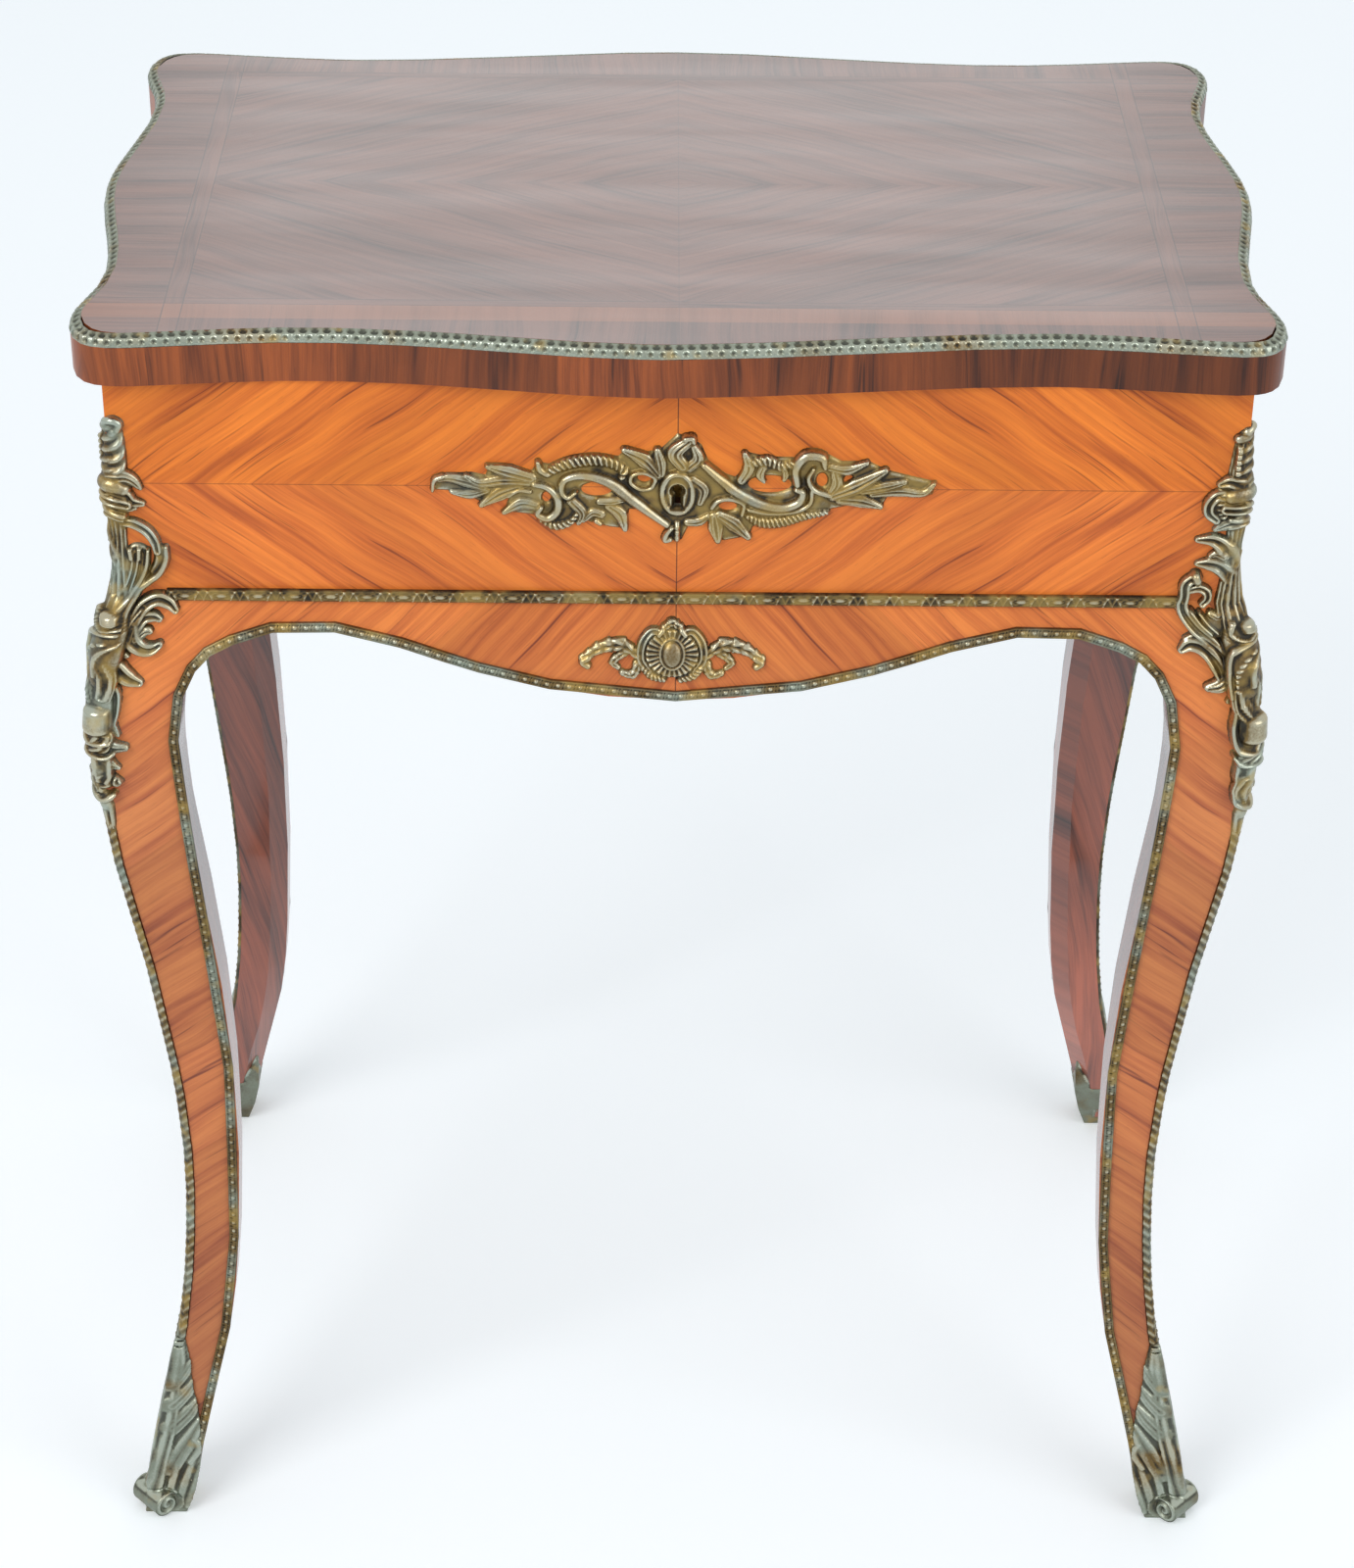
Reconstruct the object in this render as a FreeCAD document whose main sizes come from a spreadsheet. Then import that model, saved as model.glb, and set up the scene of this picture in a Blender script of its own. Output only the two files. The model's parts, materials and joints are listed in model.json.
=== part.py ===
import FreeCAD, Part
import math
import os
import Sketcher
from FreeCAD import Placement, Rotation, Vector

# Dressing table with a lifting lid on four cabriole legs.
# Millimetres. Origin on the floor under the middle, +Z up, the front faces -Y, +X is to the right.
# Heights are above the floor. "Outward" is measured from the upright faces of the box.

# Driving sizes: name, value, meaning
SIZES = (
    ("overall_height", 740.0, "floor to the top of the lid"),
    ("lid_side_overhang", 18.3, "lid beyond the box at its widest place, each side"),
    ("lid_front_overhang", 18.2, "lid beyond the box at its deepest place, front and rear"),
    ("lid_thickness", 26.0, "lid, underside to top"),
    ("lid_gap", 0.3, "daylight between the box and the closed lid"),
    ("lid_rim_width", 6.0, "width of the brass moulding on the lid's top edge"),
    ("lid_rim_height", 6.0, "height of that moulding"),
    ("lid_rim_proud", 0.8, "how far it stands out from the wooden edge"),
    ("lid_veneer_drop", 0.4, "how far the wooden top lies below the moulding"),
    ("box_width", 550.8, "box, left face to right face"),
    ("box_depth", 342.4, "box, front face to rear face"),
    ("panel_thickness", 18.0, "walls of the well"),
    ("bottom_thickness", 8.0, "floor of the well"),
    ("box_height", 117.7, "box, from the line over the aprons to its rim"),
    ("post_width", 44.0, "corner post at the top of each leg"),
    ("apron_depth", 53.0, "apron at its deepest, in the middle"),
    ("apron_thickness", 30.0, "apron, from the box face inwards"),
    ("arch_share", 0.268, "length of the arch beside each leg, of the apron's half length"),
    ("knee_projection", 14.0, "knee of the leg, outward"),
    ("ankle_setback", 9.6, "ankle of the leg, inward"),
    ("toe_projection", 23.0, "toe of the leg, outward"),
    ("knee_thickness", 39.5, "leg at the knee"),
    ("ankle_thickness", 28.0, "leg at the ankle"),
    ("foot_thickness", 24.0, "leg at the foot"),
    ("leg_chamfer", 7.0, "softened inner corner of the leg"),
    ("foot_lift", 8.0, "end of the wooden foot above the floor"),
    ("edge_band_width", 5.0, "brass moulding along the aprons and legs"),
    ("edge_band_proud", 1.3, "how far it stands out"),
    ("edge_band_rise", 44.0, "its lower end above the cup of the sabot"),
    ("arris_rod_width", 4.6, "brass rod let into the outer corner of the leg"),
    ("arris_rod_proud", 0.9, "how far it stands out"),
    ("arris_tuck", 9.0, "how far the rod runs in under the leaf of the sabot"),
    ("arris_lap", 6.0, "how far it runs in under the tail of the corner mount"),
    ("strip_height", 5.6, "bead strip round the box"),
    ("strip_proud", 2.6, "how far the strip stands out"),
    ("strip_inset", 24.0, "end of the strip to the corner of the box"),
    ("mount_plate", 2.4, "thickness of the flat parts of the corner mount"),
    ("mount_drop", 23.7, "top of the corner mount below the rim of the box"),
    ("mount_length", 226.0, "top to tail of the corner mount"),
    ("mount_reach", 30.0, "how far it reaches over the face of the box"),
    ("mount_stand", 24.0, "how far it stands out at the knee"),
    ("sabot_height", 113.0, "top of the leaf of the sabot"),
    ("sabot_wall", 1.8, "sabot over the wooden foot"),
    ("sabot_cup_height", 32.0, "part of the sabot that goes all round the foot"),
    ("sabot_leaf_reach", 15.0, "leaf of the sabot, arris to edge"),
    ("toe_roll_radius", 8.2, "rolled toe of the sabot"),
    ("toe_roll_length", 24.0, "length of the roll"),
    ("toe_roll_out", 19.0, "centre of the roll, outward"),
    ("escutcheon_length", 236.6, "escutcheon, tip to tip"),
    ("escutcheon_height", 58.6, "escutcheon, top to bottom"),
    ("escutcheon_thickness", 2.4, "its plate"),
    ("escutcheon_lift", 2.2, "its middle above the keyhole"),
    ("escutcheon_boss_width", 13.0, "oval boss round the keyhole"),
    ("escutcheon_boss_height", 23.0, "the same, upright"),
    ("escutcheon_boss_proud", 2.0, "how far the boss stands above the plate"),
    ("escutcheon_boss_drop", 2.1, "middle of the boss below the round of the keyhole"),
    ("cartouche_length", 92.0, "apron ornament, tip to tip"),
    ("cartouche_height", 32.8, "apron ornament, top to bottom"),
    ("cartouche_thickness", 2.6, "its plate"),
    ("cartouche_drop", 28.3, "its centre below the line over the aprons"),
    ("cabochon_width", 9.5, "oval boss in its middle"),
    ("cabochon_height", 13.5, "the same, upright"),
    ("cabochon_proud", 4.0, "how far the boss stands above the plate"),
    ("mirror_side_margin", 73.7, "edge of the lid to the mirror under it, at the sides"),
    ("mirror_front_margin", 69.4, "the same, front and rear"),
    ("mirror_thickness", 4.0, "glass"),
    ("mirror_bevel", 2.0, "bevel round the glass"),
    ("mirror_bead_width", 10.0, "bead that holds the mirror"),
    ("mirror_bead_lip", 4.0, "overlap of the bead on the glass"),
    ("mirror_bead_face", 2.0, "thickness of that lip"),
    ("mirror_fit", 0.3, "play round the glass"),
    ("hinge_inset", 36.4, "end of each hinge from the corner post"),
    ("hinge_length", 50.0, "length of a hinge"),
    ("hinge_leaf_depth", 15.0, "leaf, from the back face of the box"),
    ("hinge_leaf_thickness", 2.0, "leaf"),
    ("hinge_knuckle_radius", 4.0, "knuckle"),
    ("hinge_pin_radius", 1.8, "pin"),
    ("hinge_play", 0.3, "clearance between turning pieces"),
    ("hinge_pin_fit", 0.1, "clearance of the pin in the knuckles"),
    ("knuckle_recess_play", 0.8, "hollow in the lid over the knuckles"),
    ("lock_plate_width", 86.0, "back plate of the lock"),
    ("lock_plate_thickness", 1.5, "the same"),
    ("lock_box_width", 70.0, "box of the lock, let into the panel"),
    ("lock_height", 68.0, "lock, from the rim of the box down"),
    ("lock_box_depth", 9.0, "depth of the box"),
    ("lock_wall", 1.5, "walls of the box"),
    ("lock_fit", 0.2, "play of the lock in its recess"),
    ("selvedge_thickness", 2.0, "top plate of the lock"),
    ("keyhole_drop", 58.0, "keyhole below the rim of the box"),
    ("keyhole_radius", 3.3, "round part of the keyhole"),
    ("keyhole_slot_width", 3.8, "slot of the keyhole"),
    ("keyhole_slot_length", 8.5, "slot, from the middle of the round part"),
    ("drill_pin_radius", 1.6, "pin that the key fits over"),
    ("drill_pin_end", 9.3, "end of the pin behind the face of the panel"),
    ("staple_offset", 16.0, "each staple from the middle"),
    ("staple_length", 11.0, "staple, below the lid"),
    ("staple_width", 6.5, "staple, front to back"),
    ("staple_thickness", 2.5, "staple, along the bolt"),
    ("staple_hole", 4.2, "square hole that the bolt enters"),
    ("staple_hole_drop", 7.0, "middle of that hole below the lid"),
    ("staple_play", 0.9, "room round a staple in the top plate"),
    ("link_plate_width", 62.0, "plate that carries the staples"),
    ("link_plate_depth", 13.0, "the same, front to back"),
    ("link_plate_thickness", 2.0, "the same"),
    ("bolt_throw", 7.0, "travel of the bolt"),
    ("bolt_finger", 3.0, "finger of the bolt, square"),
    ("bolt_free", 1.0, "tip of a finger to its staple when unlocked"),
    ("bolt_bar_height", 8.0, "bar of the bolt"),
    ("bolt_bar_drop", 24.0, "underside of the bar below the rim"),
    ("bolt_riser_width", 5.0, "riser under each finger"),
    ("bolt_ledge", 2.0, "ledge that the bolt slides on"),
    ("fairness", 0.35, "how far a facet of a curved template may lie from its line"),
    ("cut_overrun", 5.0, "how far cutting solids run past a face"),
)

# Places and sizes worked out from the driving sizes
PLACES = (
    ("rim_level", "Sizes.overall_height - Sizes.lid_thickness - Sizes.lid_gap"),
    ("lid_level", "Sizes.overall_height - Sizes.lid_thickness"),
    ("half_width", "Sizes.box_width / 2"),
    ("half_depth", "Sizes.box_depth / 2"),
    ("lid_width", "Sizes.box_width + 2 * Sizes.lid_side_overhang"),
    ("lid_depth", "Sizes.box_depth + 2 * Sizes.lid_front_overhang"),
    ("seam_height", "Places.rim_level - Sizes.box_height"),
    ("edge_band_low", "Sizes.sabot_cup_height + Sizes.edge_band_rise"),
    ("arris_low", "Sizes.sabot_height - Sizes.arris_tuck"),
    ("mount_top", "Places.rim_level - Sizes.mount_drop"),
    ("arris_high", "Places.mount_top - Sizes.mount_length + Sizes.arris_lap"),
    ("cartouche_centre", "Places.seam_height - Sizes.cartouche_drop"),
    ("front_span", "Sizes.box_width - 2 * Sizes.post_width"),
    ("side_span", "Sizes.box_depth - 2 * Sizes.post_width"),
    ("well_width", "Sizes.box_width - 2 * Sizes.panel_thickness"),
    ("well_depth", "Sizes.box_depth - 2 * Sizes.panel_thickness"),
    ("mirror_width", "Places.lid_width - 2 * Sizes.mirror_side_margin"),
    ("mirror_depth", "Places.lid_depth - 2 * Sizes.mirror_front_margin"),
    ("mirror_recess_depth", "Sizes.mirror_thickness + Sizes.mirror_bead_face"),
    ("mirror_level", "Places.lid_level + Sizes.mirror_bead_face"),
    ("bead_outer_width", "Places.mirror_width + 2 * Sizes.mirror_bead_width"),
    ("bead_outer_depth", "Places.mirror_depth + 2 * Sizes.mirror_bead_width"),
    ("hinge_offset", "Places.half_width - Sizes.post_width - Sizes.hinge_inset - Sizes.hinge_length / 2"),
    ("hinge_axis_y", "Places.half_depth + Sizes.hinge_knuckle_radius + Sizes.hinge_play"),
    ("hinge_axis_z", "Places.rim_level + Sizes.lid_gap / 2"),
    ("knuckle_length", "Sizes.hinge_length / 3"),
    ("panel_inner_y", "-Places.half_depth + Sizes.panel_thickness"),
    ("bolt_y", "Places.panel_inner_y - Sizes.lock_box_depth / 2"),
    ("finger_level", "Places.lid_level - Sizes.staple_hole_drop"),
    ("keyhole_level", "Places.rim_level - Sizes.keyhole_drop"),
    ("bolt_bar_level", "Places.rim_level - Sizes.bolt_bar_drop"),
)

# Line of the outer face of the leg: height as a share of the seam height, then the
# shares of the knee's projection, the ankle's setback and the toe's projection.
LEG_LINE_SHARES = (
    (0.000, 0.00, 0.00, 1.00),
    (0.110, 0.00, 0.00, 0.46),
    (0.200, 0.00, 0.06, 0.00),
    (0.300, 0.00, 0.78, 0.00),
    (0.400, 0.00, 1.00, 0.00),
    (0.500, 0.00, 0.68, 0.00),
    (0.620, 0.06, 0.00, 0.00),
    (0.740, 0.77, 0.00, 0.00),
    (0.826, 1.00, 0.00, 0.00),
    (0.900, 0.87, 0.00, 0.00),
    (1.000, 0.00, 0.00, 0.00),
)

# Thickness of the leg: height as before, then the shares of the foot's, the ankle's
# and the knee's thickness.
LEG_THICKNESS_SHARES = (
    (0.000, 1.00, 0.00, 0.00),
    (0.110, 0.60, 0.40, 0.00),
    (0.200, 0.10, 0.90, 0.00),
    (0.300, 0.00, 1.00, 0.00),
    (0.500, 0.00, 0.60, 0.40),
    (0.690, 0.00, 0.00, 1.00),
    (0.870, 0.00, 0.00, 1.00),
)

# Ear that carries the leg's inner line into the arch of the apron: drop below the seam
# as a share of the apron's depth, then the share of the way from leg to post.
EAR_SHARES = ((1.000, 0.10), (0.740, 0.45), (0.585, 1.00))

# Lower edge of an apron: share of the way from the middle to the arch, then the drop
# below the seam as a share of the apron's depth.
APRON_MIDDLE_SHARES = (
    (0.000, 1.000), (0.372, 0.887), (0.580, 0.725), (0.809, 0.490), (1.000, 0.350),
)

# The arch: distance from the post as a share of the arch's width, then the drop.
APRON_ARCH_SHARES = ((0.506, 0.358), (0.184, 0.477), (0.000, 0.585))

# Outline of the lid, one quarter, from the middle of the front to the middle of the
# side: shares of the half width and of the half depth.
LID_OUTLINE_SHARES = (
    (0.000, 1.000), (0.340, 0.951), (0.647, 0.921), (0.870, 0.956), (0.965, 0.935), (0.990, 0.855),
    (0.964, 0.640), (0.962, 0.430), (1.000, 0.000),
)

# Corner mount, edge over the face of the box: drop below its top as a share of its
# length, then the reach over the face as a share of the mount's reach. Negative shares
# lie beyond the corner of the box, over the swell of the knee.
MOUNT_EDGE_SHARES = (
    (0.000, 0.05), (0.040, 0.27), (0.120, 0.30), (0.175, 0.50), (0.228, 0.38), (0.300, 0.84),
    (0.385, 0.56), (0.445, 0.74), (0.520, 0.52), (0.590, 0.14), (0.660, 0.02), (0.745, -0.18),
    (0.880, -0.20), (1.000, -0.44),
)

# Corner mount, the raised scroll along the corner: drop as before, then its outermost
# point and its width, both as shares of how far the mount stands out.
MOUNT_SCROLL_SHARES = (
    (0.000, 0.06, 0.20), (0.075, 0.19, 0.46), (0.145, 0.33, 0.72), (0.210, 0.23, 0.62),
    (0.310, 0.10, 0.50), (0.385, 0.14, 0.56), (0.440, 0.36, 0.76), (0.520, 0.70, 0.88),
    (0.700, 0.94, 0.92), (0.800, 0.87, 0.76), (0.900, 0.71, 0.50), (1.000, 0.54, 0.24),
)

# Sabot, edge of the leaf over the face of the leg: height as a share of the way from
# the cup to the top of the leaf, then the share of the leaf's reach.
SABOT_LEAF_SHARES = ((1.00, 0.20), (0.80, 0.60), (0.62, 0.84), (0.46, 1.20), (0.25, 1.50))

# Heel of the sabot, from the top of the cup to the floor: height as a share of the cup's
# height, then how far its line lies behind the wooden foot, as a share of the wall.
SABOT_HEEL_SHARES = ((1.00, 1.00), (0.50, 0.60), (0.00, -1.00))

# Escutcheon, upper edge from the left tip to the right tip: shares of the half length
# and of the half height. The lower edge is the same line turned half round.
ESCUTCHEON_SHARES = (
    (-1.00, 0.00), (-0.86, 0.28), (-0.74, 0.42), (-0.60, 0.32), (-0.46, 0.58), (-0.27, 0.60),
    (-0.18, 0.74), (-0.06, 0.72), (0.01, 0.98), (0.10, 0.60), (0.20, 0.36), (0.26, 0.70),
    (0.50, 0.70), (0.62, 0.50), (0.80, 0.36),
)

# Piercings of the escutcheon, one of each pair: points as shares, in order.
ESCUTCHEON_PIERCING_SHARES = (
    ((-0.42, 0.02), (-0.34, 0.28), (-0.19, 0.18), (-0.28, -0.10)),
    ((-0.20, 0.34), (-0.13, 0.44), (-0.12, 0.24)),
)

# Apron ornament, upper edge from the middle to the right tip, then the lower edge back
# to the middle: shares of the half length and of the half height.
CARTOUCHE_UPPER_SHARES = (
    (0.00, 1.00), (0.20, 0.72), (0.31, 0.76), (0.42, 0.38), (0.60, 0.44), (0.82, 0.22), (1.00, -0.22),
)
CARTOUCHE_LOWER_SHARES = (
    (0.74, -0.32), (0.54, -0.60), (0.40, -0.92), (0.20, -0.74), (0.00, -0.94),
)

os.makedirs("parts", exist_ok=True)
doc = FreeCAD.newDocument("dressing_table")


def fill_sheet(name, rows):
    """A sheet whose named cells hold the given values or formulas."""
    sheet = doc.addObject("Spreadsheet::Sheet", name)
    for row, entry in enumerate(rows, start=1):
        sheet.set("B%d" % row, str(entry[1]))
        sheet.setAlias("B%d" % row, entry[0])
        if len(entry) > 2:
            sheet.set("A%d" % row, entry[2])
    return sheet


sizes = fill_sheet("Sizes", SIZES)
doc.recompute()
places = fill_sheet("Places", [(name, "=" + formula) for name, formula in PLACES])
doc.recompute()
nodes = []


def get(name):
    """A driving size or a place, as a number."""
    sheet = sizes if any(name == entry[0] for entry in SIZES) else places
    return float(sheet.get(name))


def keep(label, piece):
    """Marks a finished sub-part and gives it the label that names its file."""
    piece.Label = label
    nodes.append(piece)
    return piece


def bind(piece, **formulas):
    """Binds properties of a document object to cells of the sheets."""
    for name, formula in formulas.items():
        piece.setExpression(name.replace("__", "."), formula)
    return piece


def place(piece, x="0", y="0", z="0"):
    """Binds the position of a document object to cells of the sheets."""
    return bind(piece, Placement__Base__x=x, Placement__Base__y=y, Placement__Base__z=z)


def box(name, wide, deep, tall, x="0", y="0", z="0"):
    """A block with its lowest corner at x, y, z."""
    block = doc.addObject("Part::Box", name)
    bind(block, Length=wide, Width=deep, Height=tall)
    return place(block, x, y, z)


def cylinder(name, radius, length, x="0", y="0", z="0", direction=Vector(0, 0, 1)):
    """A cylinder that starts at x, y, z and runs along a direction."""
    rod = doc.addObject("Part::Cylinder", name)
    rod.Placement = Placement(Vector(), Rotation(Vector(0, 0, 1), direction))
    bind(rod, Radius=radius, Height=length)
    return place(rod, x, y, z)


def fuse(name, pieces):
    """One solid from several document objects."""
    joined = doc.addObject("Part::MultiFuse", name)
    joined.Shapes = pieces
    joined.Refine = True
    return joined


def cut(name, base, tool):
    """A document object with another cut out of it."""
    result = doc.addObject("Part::Cut", name)
    result.Base = base
    result.Tool = tool
    result.Refine = True
    return result


def feature(label, shape, placement=None):
    """A sub-part whose shape is worked out below from the sheet."""
    piece = doc.addObject("Part::Feature", label)
    piece.Shape = shape
    piece.Placement = placement or Placement()
    return keep(label, piece)


# Sketched bodies

def new_body(label):
    """A body for one sub-part."""
    return keep(label, doc.addObject("PartDesign::Body", label))


def sketch_on(body, name, role, offset=None):
    """An empty sketch on one of the body's own origin planes."""
    plane = next(item for item in body.Origin.OriginFeatures if item.Role == role)
    sketch = body.newObject("Sketcher::SketchObject", name)
    sketch.AttachmentSupport = [(plane, "")]
    sketch.MapMode = "FlatFace"
    for axis, formula in (offset or {}).items():
        sketch.setExpression("AttachmentOffset.Base." + axis, formula)
    return sketch


def rectangle(sketch, wide, tall):
    """A rectangle about the sketch's own origin, with both sides bound to the sheet."""
    x = float(sizes.evalExpression(wide)) / 2
    y = float(sizes.evalExpression(tall)) / 2
    corners = [Vector(-x, -y, 0), Vector(x, -y, 0), Vector(x, y, 0), Vector(-x, y, 0)]
    for start, end in zip(corners, corners[1:] + corners[:1]):
        sketch.addGeometry(Part.LineSegment(start, end), False)
    for line in range(4):
        sketch.addConstraint(Sketcher.Constraint("Coincident", line, 2, (line + 1) % 4, 1))
    for line in (0, 2):
        sketch.addConstraint(Sketcher.Constraint("Horizontal", line))
    for line in (1, 3):
        sketch.addConstraint(Sketcher.Constraint("Vertical", line))
    sketch.addConstraint(Sketcher.Constraint("Symmetric", 0, 1, 1, 2, -1, 1))
    across = sketch.addConstraint(Sketcher.Constraint("DistanceX", 0, 1, 0, 2, 2 * x))
    upright = sketch.addConstraint(Sketcher.Constraint("DistanceY", 1, 1, 1, 2, 2 * y))
    sketch.renameConstraint(across, "wide")
    sketch.renameConstraint(upright, "tall")
    sketch.setExpression("Constraints.wide", wide)
    sketch.setExpression("Constraints.tall", tall)
    return sketch


def circle(sketch, radius):
    """A circle about the sketch's own origin, bound to the sheet."""
    start = float(sizes.evalExpression(radius))
    sketch.addGeometry(Part.Circle(Vector(), Vector(0, 0, 1), start), False)
    sketch.addConstraint(Sketcher.Constraint("Coincident", 0, 3, -1, 1))
    index = sketch.addConstraint(Sketcher.Constraint("Radius", 0, start))
    sketch.renameConstraint(index, "radius")
    sketch.setExpression("Constraints.radius", radius)
    return sketch


def pad(body, name, sketch, length, reversed_way=False):
    """Adds material over a sketch."""
    step = body.newObject("PartDesign::Pad", name)
    step.Profile = sketch
    step.Reversed = reversed_way
    step.setExpression("Length", length)
    return step


def pocket(body, name, sketch, length, reversed_way=False, both_ways=False):
    """Takes material away over a sketch, and stops if nothing went."""
    doc.recompute()
    before = body.Shape.Volume
    step = body.newObject("PartDesign::Pocket", name)
    step.Profile = sketch
    step.Reversed = reversed_way
    if both_ways:
        step.Midplane = True
    step.setExpression("Length", length)
    doc.recompute()
    if not step.Shape.Volume < before:
        raise RuntimeError(name + " cuts nothing")
    return step


# Curves of the legs and aprons, in a frame of their own: x is outward from the face
# of the box, z is the height above the floor.

def smooth(points, closed=False):
    """Corners of the facets along a smooth line through points. Each point is a corner.
    The line is divided at a unit height, so a larger table has the same facets, enlarged."""
    unit = get("overall_height")
    curve = Part.BSplineCurve()
    curve.interpolate(Points=[point * (1 / unit) for point in points], PeriodicFlag=closed)
    knots = curve.getKnots()
    corners = [curve.value(knots[0])]
    for start, end in zip(knots, knots[1:]):
        corners += curve.discretize(Deflection=get("fairness") / unit, First=start, Last=end)[1:]
    return [corner * unit for corner in corners]


def polyline(points):
    """Straight edges through points."""
    return [Part.LineSegment(a, b).toShape() for a, b in zip(points, points[1:])]


def face_of(edges):
    """A flat face inside edges that follow each other."""
    return Part.Face(Part.Wire(Part.__sortEdges__(edges)))


def face_inside(corners):
    """A flat face inside corners in order."""
    return Part.Face(Part.makePolygon(corners + corners[:1]))


def leg_line(proud):
    """Points of the leg's outer line, moved outward."""
    points = []
    for height_share, knee_share, ankle_share, toe_share in LEG_LINE_SHARES:
        outward = knee_share * get("knee_projection") + toe_share * get("toe_projection")
        outward -= ankle_share * get("ankle_setback")
        points.append(Vector(outward + proud, 0, height_share * get("seam_height")))
    return points


leg_curve = Part.BSplineCurve()
leg_curve.interpolate(leg_line(0))


HALVINGS = 40


def outward_at(height):
    """Outward place of the leg's outer line at a height, found by halving."""
    low, high = leg_curve.FirstParameter, leg_curve.LastParameter
    for _ in range(HALVINGS):
        middle = (low + high) / 2
        if leg_curve.value(middle).z < height:
            low = middle
        else:
            high = middle
    return leg_curve.value(low).x


def leg_inner_points(widen=1.0, inset=0.0):
    """Points of the leg's inner line from the foot to the post. Widened and inset for
    the corner that faces the middle of the table."""
    points = []
    for height_share, foot_share, ankle_share, knee_share in LEG_THICKNESS_SHARES:
        height = height_share * get("seam_height")
        thickness = foot_share * get("foot_thickness") + ankle_share * get("ankle_thickness")
        thickness += knee_share * get("knee_thickness")
        points.append(Vector((outward_at(height) - thickness) * widen + inset, 0, height))
    for drop_share, flare_share in EAR_SHARES:
        height = get("seam_height") - drop_share * get("apron_depth")
        slim = outward_at(height) - get("knee_thickness")
        inner = slim - flare_share * (slim + get("post_width"))
        points.append(Vector(inner * widen + inset * (1 - flare_share), 0, height))
    return points


def leg_inner_at(height):
    """The point of the leg's inner line at a height under the ear."""
    points = leg_inner_points()
    below = [point for point in points if point.z <= height][-1]
    above = [point for point in points if point.z > height][0]
    share = (height - below.z) / (above.z - below.z)
    return below + (above - below) * share


def extruded_both_ways(face, direction, reach):
    """A face drawn out by the same reach to both sides."""
    start = direction * -reach
    return face.translated(start).extrude(direction * (2 * reach))


ALONG_X = Vector(1, 0, 0)
ALONG_Y = Vector(0, 1, 0)
ALONG_Z = Vector(0, 0, 1)
REACH = get("post_width") + get("knee_projection") + get("toe_projection") + get("leg_chamfer")
DIAGONAL = math.sqrt(2)


def to_other_face(shape):
    """Mirrors a shape about the upright plane through the corner's diagonal."""
    return shape.mirror(Vector(), Vector(1, 1, 0))


def height_slab(low, high, reach):
    """A block between two heights, to trim a shape with."""
    return Part.makeBox(2 * reach, 2 * reach, high - low, Vector(-reach, -reach, low))


def swollen_line(proud, heights):
    """Points at given heights, an outward distance from the leg's line and, above it,
    from the face of the box."""
    seam = get("seam_height")
    return [Vector(proud + (outward_at(height) if height < seam else 0), 0, height) for height in heights]


def crossed(face):
    """What a profile drawn out from the front and the same one drawn out from the side
    have in common."""
    view = extruded_both_ways(face, ALONG_Y, REACH)
    return view.common(to_other_face(view))


# Cabriole leg. It is sawn to one profile from two faces, so it is what two drawn-out
# profiles have in common. A third, seen along the diagonal, softens the inner corner.

def leg_profile():
    """The leg seen from the front, post and foot included."""
    outer = leg_line(0)
    inner = leg_inner_points()
    seam = get("seam_height")
    corners = [Vector(-get("post_width"), 0, seam)]
    return face_inside(smooth(outer) + corners + smooth(inner)[::-1])


def leg_diagonal_profile():
    """The leg seen square to its diagonal, cut back at the inner corner."""
    inner = leg_inner_points(DIAGONAL, get("leg_chamfer"))
    top = Vector(inner[-1].x, 0, get("seam_height"))
    far_top = Vector(REACH * DIAGONAL, 0, get("seam_height"))
    far_bottom = Vector(REACH * DIAGONAL, 0, 0)
    return face_inside(smooth(inner) + [top, far_top, far_bottom])


def arris_rod():
    """Brass rod along the outer corner of the leg."""
    proud = get("arris_rod_proud")
    outer = smooth(leg_line(proud))
    inner = smooth(leg_line(proud - get("arris_rod_width")))
    rod = crossed(face_inside(outer + inner[::-1]))
    return rod.common(height_slab(get("arris_low"), get("arris_high"), REACH))


def leg_shape(rod):
    """Leg and post, with the corner at the origin and both outer faces outward."""
    leg = crossed(leg_profile())
    diagonal_view = extruded_both_ways(leg_diagonal_profile(), ALONG_Y, REACH)
    diagonal_view.rotate(Vector(), ALONG_Z, -45)
    leg = leg.common(diagonal_view)
    leg = leg.common(height_slab(get("foot_lift"), get("seam_height"), REACH))
    width = get("post_width")
    wall = get("panel_thickness")
    height = get("box_height")
    post = Part.makeBox(width, width, height, Vector(-width, 0, get("seam_height")))
    hollow = Part.makeBox(width - wall, width - wall, height, Vector(-width, wall, get("seam_height")))
    return leg.fuse(post.cut(hollow)).removeSplitter().cut(rod)


CORNERS = (
    ("front_right", 0, 1, -1),
    ("rear_right", 90, 1, 1),
    ("rear_left", 180, -1, 1),
    ("front_left", 270, -1, -1),
)


def corner_placement(angle, side_x, side_y):
    """Where a corner piece goes: turned to its corner and moved to the box's corner."""
    base = Vector(side_x * get("half_width"), side_y * get("half_depth"), 0)
    return Placement(base, Rotation(ALONG_Z, angle))


def at_each_corner(prefix, shape):
    """The same piece on all four corners."""
    for corner, angle, side_x, side_y in CORNERS:
        feature(prefix + "_" + corner, shape, corner_placement(angle, side_x, side_y))


rod_shape = arris_rod()
leg = leg_shape(rod_shape)
at_each_corner("leg", leg)
at_each_corner("arris_moulding", rod_shape)

# Aprons and their mouldings, in a frame where x is outward and y runs along the side

SIDES = (
    ("front", -90, 0, -1),
    ("right", 0, 1, 0),
    ("rear", 90, 0, 1),
    ("left", 180, -1, 0),
)


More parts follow.
